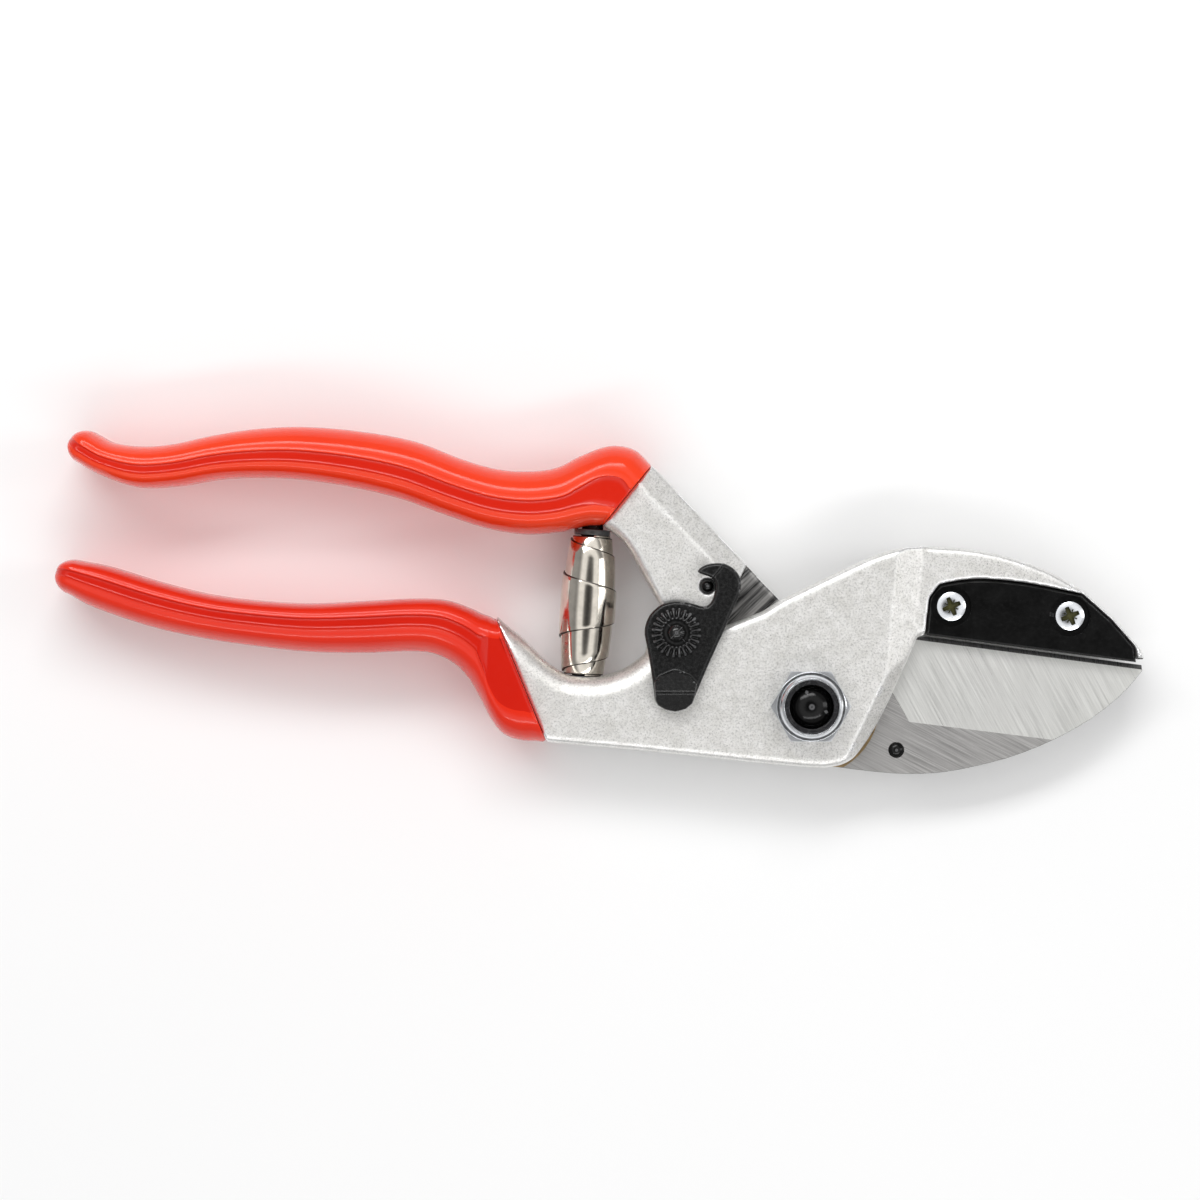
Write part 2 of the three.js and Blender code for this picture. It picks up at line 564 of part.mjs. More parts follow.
function bladeBody() {
  const along = EDGE_TIP.clone().sub(EDGE_HEEL).normalize();
  const inset = v2(along.y, -along.x).multiplyScalar(MICRO_WIDTH);
  const a = EDGE_HEEL.clone().add(inset);
  const b = EDGE_TIP.clone().add(inset);
  const microHeight = BLADE_TOP - 1.16;
  const micro = blockAboveSlope(b, a, microHeight, MICRO_SLOPE);
  return cut(
    slab(bladeOutline, BLADE_BOTTOM, BLADE_TOP),
    grindWedge(1),
    grindWedge(-1),
    micro,
    rod(BUSH_OUTER + RUNNING_GAP, 0, FAR),
    rod(RIVET_RADIUS + RUNNING_GAP, 0, FAR, RIVET, SMALL_SEGMENTS),
  );
}

// ---- catch ----
const HOOK_TIP = [[-21, 25], [-20.9, 25.4], [-20.2, 26], [-19, 26.5], [-17.5, 26.7]];
const HOOK_BACK = [[-16, 26.6], [-14.6, 25.9], [-13.5, 24.8], [-12.9, 23.4], [-12.9, 22], [-13.2, 20.6],
  [-14, 18.9], [-16.2, 13.8], [-17.5, 11], [-19.3, 7], [-21.4, 2]];
const TAB_END = [[-22, 0.6], [-23.3, -0.5], [-25.2, -1], [-27, -0.6], [-28.4, 0.2], [-29, 1.2]];
const CATCH_SIDE = [[-29.4, 4.7], [-29.9, 8], [-30.4, 11], [-30.9, 13.6], [-30.7, 15.2], [-30, 16.9],
  [-28.8, 18.2], [-27.2, 19.2], [-25.3, 19.6]];
const HOOK_THROAT = [[-23.5, 19.5], [-21.8, 19.1], [-20.3, 18.65], [-19.2, 18.75], [-18.4, 19.6], [-18, 20.6],
  [-17.7, 21.7], [-17.65, 22.7], [-18, 23.5], [-18.7, 24.1], [-19.6, 24.4], [-20.5, 24.7]];
const catchOutline = [
  ...smooth(HOOK_TIP, 6), ...smooth(HOOK_BACK, 18), ...smooth(TAB_END, 8), ...smooth(CATCH_SIDE, 14),
  ...smooth(HOOK_THROAT, 18),
];
const CREASE = [[-18.45, 23.7], [-16.7, 25.8], [-15.9, 27.5]];
const tipRegion = points2([...CREASE, [-24, 27.5], [-24, 23.7]]);
const TAB_TOP = 21.6;

// The thumb tab: a ridge across the catch, with one face up to it and one down to the rounded end.
function thumbTab() {
  const ridgeY = 2.6;
  const profile = points2([[6.9, CATCH_TOP - 0.6], [6.9, CATCH_TOP], [ridgeY + 0.3, TAB_TOP],
    [ridgeY - 0.3, TAB_TOP], [-1.2, CATCH_TOP + 0.5], [-1.2, CATCH_TOP - 0.6]]);
  const prism = new THREE.ExtrudeGeometry(new THREE.Shape(profile), { depth: 12, bevelEnabled: false });
  prism.applyMatrix4(new THREE.Matrix4().makeBasis(
    new THREE.Vector3(0, 1, 0), new THREE.Vector3(0, 0, 1), new THREE.Vector3(1, 0, 0),
  ));
  prism.translate(-31, 0, 0);
  const plan = [
    v2(-25.2, 6.8), v2(-28, 5.6), v2(-29.1, 4.4), v2(-28.9, 1.2), ...points2(TAB_END).slice(0, -1).reverse(),
    v2(-21.6, 2), v2(-21.2, 4.2), v2(-22.6, 5.7),
  ];
  return solid(prism).intersect(slab(plan, 0, FAR));
}

function catchPlate() {
  const plate = slab(catchOutline, CATCH_BOTTOM, CATCH_TOP, 0.45, 1);
  const tip = slab(catchOutline, CATCH_TIP_BOTTOM, CATCH_TIP_TOP, 0.4, 1).intersect(slab(tipRegion, 0, FAR));
  const flat = cut(plate, slab(tipRegion, 0, CATCH_TIP_BOTTOM));
  return cut(
    union(flat, tip, thumbTab()),
    rod(SCREW_SHANK_RADIUS + GAP, 0, FAR, CATCH_PIVOT, SMALL_SEGMENTS),
  );
}

const KNURL_COUNT = 24;
const KNURL_RADIUS = 4.65;
const KNURL_DEPTH = 0.35;

function catchScrew() {
  const rim = [];
  for (let i = 0; i < KNURL_COUNT * 2; i += 1) {
    const angle = (Math.PI * i) / KNURL_COUNT;
    const radius = i % 2 ? KNURL_RADIUS : KNURL_RADIUS - KNURL_DEPTH;
    rim.push(v2(CATCH_PIVOT.x + radius * Math.cos(angle), CATCH_PIVOT.y + radius * Math.sin(angle)));
  }
  const base = CATCH_TOP + 0.05;
  const disc = slab(rim, base, base + 1.3);
  const dome = turned([
    [0, PLATE_BOTTOM + 0.4], [SCREW_SHANK_RADIUS, PLATE_BOTTOM + 0.4], [SCREW_SHANK_RADIUS, base + 0.2],
    [2.15, base + 0.2], [2.15, base + 1.6], [1.7, base + 2.1], [0.9, base + 2.4], [0, base + 2.5],
  ], CATCH_PIVOT, SMALL_SEGMENTS);
  return union(disc, dome);
}

// ---- pivot hardware ----
function pivotBolt() {
  const coneRadius = 1.6;
  const coneDepth = 1.1;
  return turned([
    [0, 0], [BOLT_HEAD_RADIUS - 0.5, 0], [BOLT_HEAD_RADIUS, 0.5], [BOLT_HEAD_RADIUS, HEAD_TOP],
    [BOLT_RADIUS, HEAD_TOP], [BOLT_RADIUS, BOLT_END - 0.6], [BOLT_RADIUS - 0.6, BOLT_END],
    [coneRadius, BOLT_END], [0, BOLT_END - coneDepth],
  ]);
}

function pivotNut() {
  const hexRadius = NUT_ACROSS_FLATS / Math.sqrt(3);
  const hex = slab(arc(PIVOT, hexRadius, 0, 300, 5), HANDLE_TOP + 0.05, NUT_HEX_TOP);
  const chamfer = turned([
    [0, HANDLE_TOP], [hexRadius - 0.6, HANDLE_TOP], [hexRadius + 0.1, HANDLE_TOP + 0.6],
    [hexRadius + 0.1, NUT_HEX_TOP - 0.9], [hexRadius - 1.1, NUT_HEX_TOP], [0, NUT_HEX_TOP],
  ]);
  const collar = turned([
    [0, NUT_HEX_TOP - 1], [NUT_COLLAR_RADIUS, NUT_HEX_TOP - 1], [NUT_COLLAR_RADIUS, NUT_TOP - 0.6],
    [NUT_COLLAR_RADIUS - 0.54, NUT_TOP], [0, NUT_TOP],
  ]);
  return cut(
    union(hex.intersect(chamfer), collar),
    rod(BOLT_RADIUS + 0.1, 0, FAR),
    rod(NUT_INSERT_RADIUS + 0.1, NUT_HEX_TOP, FAR),
  );
}

function slideWasher() {
  const trim = [
    v2(-FAR, -7.2), v2(-10, -10.3), v2(0, -11.25), v2(4, -11.65), v2(FAR, -15), v2(FAR, FAR), v2(-FAR, FAR),
  ];
  return ring(BOLT_RADIUS + 0.1, LINER_RADIUS, LINER_BOTTOM, LINER_TOP).intersect(slab(trim, 0, FAR));
}

// ---- materials ----
function paint(color, roughness, metalness) {
  return new THREE.MeshStandardMaterial({ color, roughness, metalness });
}

const forged = paint(0xc9c8c4, 0.55, 0.85);
const vinyl = paint(0xf03c20, 0.28, 0);
const blackPlastic = paint(0x101010, 0.25, 0);
const blackSteel = paint(0x1c1c1e, 0.4, 0.6);
const zinc = paint(0xd9dce0, 0.22, 1);
const groundSteel = paint(0xb9bab8, 0.35, 1);
const nickel = paint(0xcfc8bb, 0.15, 1);
const bronze = paint(0xa98a5c, 0.4, 0.9);
const nylon = paint(0x2a2b2e, 0.5, 0);

// ---- the assembly: three bodies that move against each other ----
const shears = new THREE.Group();
const anvilSide = new THREE.Group();
const bladeSide = new THREE.Group();
const catchSide = new THREE.Group();
shears.add(anvilSide, bladeSide, catchSide);

function place(group, name, body, material) {
  const mesh = new THREE.Mesh(geometryOf(body), material.clone());
  mesh.name = name;
  group.add(mesh);
}

place(anvilSide, 'anvil_handle', anvilHandle(), forged);
place(anvilSide, 'anvil_handle_grip', cut(
  gripBody(ANVIL_GRIP_PALM, ANVIL_GRIP_INNER),
  tangBody(ANVIL_GRIP_PALM, ANVIL_GRIP_INNER, GAP),
), vinyl);
place(anvilSide, 'anvil', anvilBody(), blackPlastic);
place(anvilSide, 'anvil_screw_rear', anvilScrew(REAR_SCREW), zinc);
place(anvilSide, 'anvil_screw_front', anvilScrew(FRONT_SCREW), zinc);
place(anvilSide, 'pivot_bolt', pivotBolt(), blackSteel);
place(anvilSide, 'pivot_bolt_washer', ring(
  BOLT_RADIUS + 0.1, BOLT_HEAD_RADIUS, HEAD_TOP + LAYER_GAP, BOLT_WASHER_TOP,
), zinc);
place(anvilSide, 'pivot_nut', pivotNut(), zinc);
place(anvilSide, 'pivot_nut_insert', ring(
  BOLT_RADIUS + 0.1, NUT_INSERT_RADIUS, NUT_HEX_TOP + LAYER_GAP, NUT_TOP - 0.3,
), nylon);
place(anvilSide, 'pivot_bush', ring(
  BOLT_RADIUS + RUNNING_GAP, BUSH_OUTER, BOLT_WASHER_TOP + LAYER_GAP, BLADE_TOP,
), bronze);
place(anvilSide, 'slide_washer', slideWasher(), bronze);
place(anvilSide, 'catch_screw', catchScrew(), blackSteel);
place(anvilSide, 'catch_washer', ring(
  SCREW_SHANK_RADIUS + GAP, CATCH_WASHER_RADIUS, HANDLE_TOP + LAYER_GAP, CATCH_BOTTOM - LAYER_GAP,
  CATCH_PIVOT, SMALL_SEGMENTS,
), zinc);
place(anvilSide, 'spring_seat_lower', seatBody(-1), blackSteel);

place(bladeSide, 'blade_handle', bladeHandle(), forged);
place(bladeSide, 'blade_handle_grip', cut(
  gripBody(BLADE_GRIP_PALM, BLADE_GRIP_INNER),
  tangBody(BLADE_GRIP_PALM, BLADE_GRIP_INNER, GAP),
  seatBody(1, GAP),
), vinyl);
place(bladeSide, 'blade', bladeBody(), groundSteel);
place(bladeSide, 'blade_rivet', turned([
  [0, HANDLE_BOTTOM + 0.3], [RIVET_RADIUS, HANDLE_BOTTOM + 0.3], [RIVET_RADIUS, BLADE_TOP],
  [1, BLADE_TOP + 0.5], [0, BLADE_TOP + 0.7],
], RIVET, SMALL_SEGMENTS), blackSteel);
place(bladeSide, 'catch_pin', turned([
  [0, CATCH_PIN_BOTTOM], [CATCH_PIN_RADIUS, CATCH_PIN_BOTTOM], [CATCH_PIN_RADIUS, CATCH_PIN_TOP - 0.7],
  [0.9, CATCH_PIN_TOP - 0.2],
  [0, CATCH_PIN_TOP],
], CATCH_PIN, SMALL_SEGMENTS), blackSteel);
place(bladeSide, 'spring_seat_upper', seatBody(1), blackSteel);
place(bladeSide, 'volute_spring', springBody(), nickel);

place(catchSide, 'catch_plate', catchPlate(), blackSteel);

export default shears;
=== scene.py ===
import json
import math

import bmesh
import bpy
import numpy as np
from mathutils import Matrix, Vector


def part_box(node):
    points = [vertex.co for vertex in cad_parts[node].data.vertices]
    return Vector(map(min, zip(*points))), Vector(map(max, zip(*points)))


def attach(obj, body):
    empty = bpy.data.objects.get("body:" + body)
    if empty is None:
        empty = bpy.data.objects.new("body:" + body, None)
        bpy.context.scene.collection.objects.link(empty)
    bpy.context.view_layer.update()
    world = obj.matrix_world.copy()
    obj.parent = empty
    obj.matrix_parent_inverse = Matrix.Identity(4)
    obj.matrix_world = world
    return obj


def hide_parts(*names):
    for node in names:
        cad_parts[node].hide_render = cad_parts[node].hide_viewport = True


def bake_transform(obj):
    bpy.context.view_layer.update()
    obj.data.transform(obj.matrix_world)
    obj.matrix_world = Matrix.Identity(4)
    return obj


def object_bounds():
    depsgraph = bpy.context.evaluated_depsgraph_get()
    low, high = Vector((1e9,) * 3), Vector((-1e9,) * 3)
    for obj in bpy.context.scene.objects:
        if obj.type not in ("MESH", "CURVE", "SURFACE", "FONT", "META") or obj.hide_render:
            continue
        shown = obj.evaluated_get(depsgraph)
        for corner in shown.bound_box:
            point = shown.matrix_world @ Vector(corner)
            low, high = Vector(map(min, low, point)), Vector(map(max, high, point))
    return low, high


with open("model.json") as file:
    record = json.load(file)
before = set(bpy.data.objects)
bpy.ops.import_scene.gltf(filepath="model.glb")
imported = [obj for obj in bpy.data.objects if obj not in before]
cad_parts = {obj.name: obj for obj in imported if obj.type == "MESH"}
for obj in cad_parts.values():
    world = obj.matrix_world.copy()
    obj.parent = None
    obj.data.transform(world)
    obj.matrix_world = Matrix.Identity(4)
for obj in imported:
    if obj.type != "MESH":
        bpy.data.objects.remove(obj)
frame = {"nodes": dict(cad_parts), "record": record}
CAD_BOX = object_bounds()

MM = 0.001
NODES = frame["nodes"]
BODY_OF = {n: b for b, names in frame["record"]["behaviour"]["bodies"].items() for n in names}

# The cutting edge, seen from above and in mm: its heel, and its Y at the blade's tip.
EDGE_HEEL = (22.5, 12.9)
EDGE_TIP_Y = 7.5

# A profile's point on its axis stands this far off it, in mm, so that its ring has a size.
NEAR_AXIS = 0.001


# ---------------------------------------------------------------- places taken from the frame
def corners(node):
    low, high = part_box(node)
    return Vector(low), Vector(high)


def centre(node):
    low, high = corners(node)
    return (low + high) / 2


def turned_size(node):
    """A round node's radius and the heights of its two ends, in mm."""
    low, high = corners(node)
    return (high.x - low.x) / 2 / MM, low.z / MM, high.z / MM


def cutting_edge():
    """The heel of the cutting edge and the direction from it to the tip, seen from above."""
    heel = Vector((EDGE_HEEL[0] * MM, EDGE_HEEL[1] * MM))
    tip = Vector((corners("blade")[1].x, EDGE_TIP_Y * MM))
    return heel, (tip - heel).normalized()


# ---------------------------------------------------------------- material helpers
class Shader:
    """A Principled material with a few short ways to add noise, masks and bump."""

    def __init__(self, name, **sockets):
        self.material = bpy.data.materials.new(name)
        self.material.use_nodes = True
        self.tree = self.material.node_tree
        self.bsdf = self.tree.nodes["Principled BSDF"]
        for key, value in sockets.items():
            self.bsdf.inputs[key.replace("_", " ")].default_value = value
        self.position = self.node("ShaderNodeTexCoord").outputs["Object"]

    def node(self, kind, **settings):
        made = self.tree.nodes.new(kind)
        for key, value in settings.items():
            setattr(made, key, value)
        return made

    def link(self, out, socket):
        self.tree.links.new(out, socket)

    def set(self, key, out):
        self.link(out, self.bsdf.inputs[key])

    def stretched(self, scale, turn):
        """The object's own position in metres, turned about Z and then scaled along its axes."""
        turned = self.node("ShaderNodeMapping", vector_type="POINT")
        turned.inputs["Rotation"].default_value = (0, 0, turn)
        self.link(self.position, turned.inputs["Vector"])
        scaled = self.node("ShaderNodeMapping", vector_type="POINT")
        scaled.inputs["Scale"].default_value = scale
        self.link(turned.outputs[0], scaled.inputs["Vector"])
        return scaled.outputs[0]

    def noise(self, scale, detail=3.0, rough=0.55, vector=None):
        made = self.node("ShaderNodeTexNoise")
        made.inputs["Scale"].default_value = scale
        made.inputs["Detail"].default_value = detail
        made.inputs["Roughness"].default_value = rough
        self.link(vector or self.position, made.inputs["Vector"])
        return made.outputs["Fac"]

    def ramp(self, out, low, high, to_low=0.0, to_high=1.0):
        made = self.node("ShaderNodeMapRange")
        made.inputs["From Min"].default_value = low
        made.inputs["From Max"].default_value = high
        made.inputs["To Min"].default_value = to_low
        made.inputs["To Max"].default_value = to_high
        self.link(out, made.inputs["Value"])
        return made.outputs["Result"]

    def mix(self, factor, first, second):
        made = self.node("ShaderNodeMix", data_type="RGBA")
        self.link(factor, made.inputs["Factor"])
        for value, key in ((first, "A"), (second, "B")):
            socket = [s for s in made.inputs if s.name == key and s.type == "RGBA"][0]
            if isinstance(value, tuple):
                socket.default_value = (*value, 1)
            else:
                self.link(value, socket)
        return [s for s in made.outputs if s.type == "RGBA"][0]

    def multiply(self, first, second):
        made = self.node("ShaderNodeMath", operation="MULTIPLY")
        self.link(first, made.inputs[0])
        self.link(second, made.inputs[1])
        return made.outputs[0]

    def edges(self, low=0.52, high=0.6):
        """1 on convex edges and 0 on flats, from the mesh's own curvature."""
        return self.ramp(self.node("ShaderNodeNewGeometry").outputs["Pointiness"], low, high)

    def bump(self, *layers):
        """layers are (height output, distance in metres) pairs."""
        normal = None
        for height, distance in layers:
            made = self.node("ShaderNodeBump")
            made.inputs["Distance"].default_value = distance
            made.inputs["Strength"].default_value = 1.0
            self.link(height, made.inputs["Height"])
            if normal:
                self.link(normal, made.inputs["Normal"])
            normal = made.outputs[0]
        self.set("Normal", normal)


def forged_aluminium():
    """Shot-blasted, tumbled aluminium: a finely speckled skin, with the raised edges rubbed bright."""
    s = Shader("forged_aluminium", Metallic=0.8, Roughness=0.42)
    grain = s.noise(2600, 5, 0.75)
    blotch = s.noise(520, 5, 0.7)
    stain = s.noise(110, 4, 0.65)
    specks = s.ramp(s.noise(3600, 2, 0.6), 0.66, 0.72)
    skin = s.mix(s.ramp(blotch, 0.36, 0.64), (0.76, 0.75, 0.72), (0.90, 0.89, 0.87))
    skin = s.mix(s.ramp(stain, 0.52, 0.72, 0, 0.35), skin, (0.66, 0.65, 0.61))
    skin = s.mix(s.ramp(grain, 0.36, 0.52, 0.60, 0), skin, (0.34, 0.33, 0.32))
    skin = s.mix(s.multiply(specks, s.ramp(stain, 0.42, 0.56)), skin, (0.15, 0.145, 0.14))
    # Painted shade: concave creases and hollows are painted darker grey, patchy with the blotch noise.
    hollow_shade = s.edges(0.492, 0.462)
    skin = s.mix(s.multiply(hollow_shade, s.ramp(blotch, 0.3, 0.6, 0.45, 0.9)), skin, (0.30, 0.29, 0.28))
    edge = s.edges(0.508, 0.540)
    s.set("Base Color", s.mix(edge, skin, (0.92, 0.92, 0.92)))
    s.set("Roughness", s.ramp(edge, 0, 1, 0.44, 0.24))
    s.bump((blotch, 0.00005), (grain, 0.00004))
    return s.material


def machined_aluminium_painted_shade():
    """The step cut into the forging for the plate to swing over: painted dark as the shade under the plate,
    with cutter streaks.
    """
    s = Shader("machined_aluminium_painted_shade", Metallic=0.85, Roughness=0.35)
    streak = s.noise(1.0, 4, 0.7, s.stretched((900, 40, 40), math.radians(46)))
    # Near black to dark grey in streaks: painted shade under the plate.
    s.set("Base Color", s.mix(s.ramp(streak, 0.38, 0.60), (0.05, 0.05, 0.05), (0.42, 0.41, 0.40)))
    s.set("Roughness", s.ramp(streak, 0.3, 0.7, 0.24, 0.42))
    s.bump((streak, 0.00002))
    return s.material


def red_vinyl(name, colour, shade):
    """Glossy dipped vinyl with a very slight ripple."""
    s = Shader(name, Roughness=0.14, IOR=1.45)
    s.bsdf.inputs["Specular IOR Level"].default_value = 0.38
    s.set("Base Color", s.mix(s.ramp(s.noise(45, 3, 0.5), 0.3, 0.7), colour, shade))
    s.set("Roughness", s.ramp(s.noise(900, 3), 0.3, 0.7, 0.10, 0.20))
    s.bump((s.noise(130, 2, 0.4), 0.00006), (s.noise(1500, 3, 0.6), 0.000006))
    return s.material


def ground_steel(name, base, turn, rough, contrast=0.6):
    """Steel ground in one direction, with fine lines that lie at this turn about Z."""
    s = Shader(name, Metallic=0.9, Roughness=rough)
    line = s.noise(1.0, 5, 0.75, s.stretched((60, 4800, 200), turn))
    broad = s.noise(1.0, 3, 0.6, s.stretched((20, 420, 40), turn))
    dark = tuple(c * contrast for c in base)
    bright = tuple(min(1.0, c * (2 - contrast)) for c in base)
    tone = s.mix(s.ramp(line, 0.36, 0.64), dark, bright)
    s.set("Base Color", s.mix(s.ramp(broad, 0.3, 0.7, 0, 0.5), tone, base))
    s.set("Roughness", s.ramp(line, 0.3, 0.7, rough - 0.07, rough + 0.09))
    s.bump((line, 0.000012), (broad, 0.00001))
    return s.material


def plated(name, base, rough, dirt, metallic=1.0):
    """Bright plating, a little duller and rougher in patches."""
    s = Shader(name, Metallic=metallic, Roughness=rough)
    dull = tuple(c * (1 - dirt) for c in base)
    s.set("Base Color", s.mix(s.ramp(s.noise(420, 3, 0.5), 0.40, 0.66), base, dull))
    s.set("Roughness", s.ramp(s.noise(1100, 2), 0.3, 0.7, rough * 0.8, rough * 1.3))
    s.bump((s.noise(600, 2, 0.4), 0.000006))
    return s.material


def black_gloss():
    """Polished black plastic."""
    s = Shader("black_plastic", Roughness=0.12)
    s.set("Base Color", s.mix(s.ramp(s.noise(300, 3), 0.3, 0.7), (0.002,) * 3, (0.006,) * 3))
    s.set("Roughness", s.ramp(s.noise(1300, 3), 0.3, 0.7, 0.08, 0.2))
    s.bump((s.noise(1800, 3, 0.6), 0.000006))
    return s.material


def black_oxide(name, tone, rough, specular=0.42):
    """Blacked steel: a dark satin skin with a fine grain, and a painted highlight along the convex edges."""
    s = Shader(name, Metallic=0.0, Roughness=rough)
    s.bsdf.inputs["Specular IOR Level"].default_value = specular
    grain = s.noise(1700, 4, 0.65)
    flat = s.mix(s.ramp(grain, 0.3, 0.7), (tone * 0.6,) * 3, (tone * 1.6,) * 3)
    # Convex edges painted light grey: a painted edge highlight.
    s.set("Base Color", s.mix(s.edges(0.52, 0.58), flat, (0.11, 0.11, 0.113)))
    s.set("Roughness", s.ramp(grain, 0.3, 0.7, rough - 0.08, rough + 0.1))
    s.bump((grain, 0.000018), (s.noise(240, 2), 0.00002))
    return s.material


FORGED = forged_aluminium()
MACHINED_SHADE = machined_aluminium_painted_shade()
# The two grips are one vinyl: the upper grip's copy is painted lighter as lit, the lower grip's darker as
# shaded.
VINYL_UPPER_PAINTED_LIT = red_vinyl("red_vinyl_upper", (0.90, 0.056, 0.014), (0.86, 0.044, 0.012))
VINYL_LOWER_PAINTED_SHADE = red_vinyl("red_vinyl_lower", (0.82, 0.034, 0.012), (0.77, 0.027, 0.010))
# Painted shade: the sunk lands between the ridges are painted a deeper red.
PAINTED_SHADE_UPPER_LAND = red_vinyl("red_vinyl_painted_shade_upper_land", (0.70, 0.022, 0.008), (0.66, 0.018, 0.007))
PAINTED_SHADE_LOWER_LAND = red_vinyl("red_vinyl_painted_shade_lower_land", (0.66, 0.018, 0.007), (0.61, 0.014, 0.006))
GROUND_FACET = ground_steel("ground_facet", (0.84, 0.84, 0.81), math.radians(62), 0.34, 0.90)
GROUND_FLAT = ground_steel("ground_flat", (0.50, 0.49, 0.48), math.radians(27), 0.36, 0.70)
# Painted shade: the cutting edge and the steep ground faces are painted nearly black.
GROUND_EDGE_SHADE = ground_steel("ground_edge_painted_shade", (0.10, 0.10, 0.10), math.radians(82), 0.30)
ZINC = plated("zinc", (0.80, 0.82, 0.85), 0.17, 0.12)
NICKEL = plated("nickel", (0.74, 0.69, 0.61), 0.11, 0.15)
# Painted shade: dark lines on the spring strip's narrow edges, in the seams between its turns.
NICKEL_SEAM_SHADE = plated("nickel_seam_painted_shade", (0.11, 0.10, 0.09), 0.3, 0.3)
BRONZE = plated("bronze", (0.42, 0.30, 0.16), 0.34, 0.3)
# Painted shade in the screws' cross recesses, dark olive.
RECESS_SHADE = plated("recess_painted_shade", (0.075, 0.072, 0.018), 0.35, 0.5, 0.3)
# Painted shade: the dark strip of the jaw beside and under the anvil.
ANVIL_STRIP_SHADE = plated("anvil_strip_painted_shade", (0.10, 0.10, 0.095), 0.35, 0.4, 0.6)
BLACK_GLOSS = black_gloss()
BLACK_STEEL = black_oxide("black_oxide", 0.004, 0.13)
BLACK_DOME = black_oxide("black_dome", 0.002, 0.11, 0.24)
CATCH_STEEL = black_oxide("catch_oxide", 0.009, 0.24)
NYLON = plated("nylon_ring", (0.02, 0.02, 0.022), 0.25, 0.3, 0.0)


# ---------------------------------------------------------------- mesh helpers
def set_materials(mesh, materials):
    """Give the mesh these materials and keep the index that each of its faces has."""
    indices = [polygon.material_index for polygon in mesh.polygons]
    mesh.materials.clear()
    for one in materials:
        mesh.materials.append(one)
    for polygon, index in zip(mesh.polygons, indices):
        polygon.material_index = min(index, len(materials) - 1)


def add_object(name, data):
    made = bpy.data.objects.new(name, data)
    bpy.context.scene.collection.objects.link(made)
    return made


def new_piece(name, node, mesh, *materials):
    """A mesh made into a piece that stands for a CAD node and rides on the node's body."""
    piece = add_object(name, mesh)
    set_materials(mesh, materials)
    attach(piece, BODY_OF[node])
    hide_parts(node)


def clean_copy(node):
    """The node's mesh with its shared corners welded and its flat faces joined."""
    weld, flat_angle = 2e-6, math.radians(0.4)
    source = NODES[node]
    mesh = source.data.copy()
    mesh.transform(source.matrix_world)
    bm = bmesh.new()
    bm.from_mesh(mesh)
    bmesh.ops.remove_doubles(bm, verts=bm.verts, dist=weld)
    bmesh.ops.dissolve_limit(bm, angle_limit=flat_angle, verts=bm.verts, edges=bm.edges)
    bm.to_mesh(mesh)
    bm.free()
    return mesh


def with_modifiers(mesh, *modifiers):
    """The mesh after a list of (type, settings) modifiers."""
    temp = add_object("temp", mesh)
    for kind, settings in modifiers:
        made = temp.modifiers.new(kind.lower(), kind)
        for key, value in settings.items():
            setattr(made, key, value)
    graph = bpy.context.evaluated_depsgraph_get()
    result = bpy.data.meshes.new_from_object(temp.evaluated_get(graph))
    bpy.data.objects.remove(temp)
    return result


def smooth_shading(mesh, sharp_deg=None):
    """Shade the mesh smooth, but for the edges that turn by more than sharp_deg degrees."""
    for polygon in mesh.polygons:
        polygon.use_smooth = True
    if sharp_deg is not None:
        mesh.set_sharp_from_angle(angle=math.radians(sharp_deg))


def forged_mesh(node, voxel):
    """The node's solid with every edge and corner softened, as a forging or a moulding has them."""
    mesh = with_modifiers(
        clean_copy(node),
        ("REMESH", {"mode": "VOXEL", "voxel_size": voxel, "use_smooth_shade": True}),
        ("SMOOTH", {"factor": 0.5, "iterations": 5}),
    )
    smooth_shading(mesh)
    return mesh


def bevelled_mesh(node, width, segments=2, sharp_deg=28):
    """The node's solid with its sharp edges bevelled and its round stretches shaded smooth."""
    mesh = with_modifiers(
        clean_copy(node),
        ("BEVEL", {"width": width, "segments": segments, "limit_method": "ANGLE",
                   "angle_limit": math.radians(sharp_deg)}),
    )
    smooth_shading(mesh, 35)
    broad_face = 4 * MM * MM
    for polygon in mesh.polygons:
        polygon.use_smooth = polygon.area < broad_face
    return mesh


def grid_mesh(name, rings, material_of_slot=None):
    """A tube through equal rings of points, with a cap of one polygon at each end."""
    count = len(rings[0])
    vertices = [tuple(p) for ring in rings for p in ring]
    faces = []
    for start in range(0, (len(rings) - 1) * count, count):
        for i in range(count):
            j = (i + 1) % count
            faces.append((start + i, start + j, start + count + j, start + count + i))
    faces.append(tuple(reversed(range(count))))
    faces.append(tuple(range((len(rings) - 1) * count, len(rings) * count)))
    mesh = bpy.data.meshes.new(name)
    mesh.from_pydata(vertices, [], faces)
    if material_of_slot:
        for index, polygon in enumerate(mesh.polygons):
            polygon.material_index = material_of_slot(index % count, index // count)
    bm = bmesh.new()
    bm.from_mesh(mesh)
    bmesh.ops.remove_doubles(bm, verts=bm.verts, dist=1e-7)
    bmesh.ops.recalc_face_normals(bm, faces=bm.faces)
    bm.to_mesh(mesh)
    bm.free()
    return mesh


def circle(at, segments, point_of):
    """A ring of points round the vertical through at. point_of(angle) gives a radius and a height in mm."""
    ring = []
    for i in range(segments):
        angle = 2 * math.pi * i / segments
        radius, height = point_of(angle)
        x, y = radius * math.cos(angle), radius * math.sin(angle)
        ring.append(Vector((at.x + x * MM, at.y + y * MM, height * MM)))
    return ring


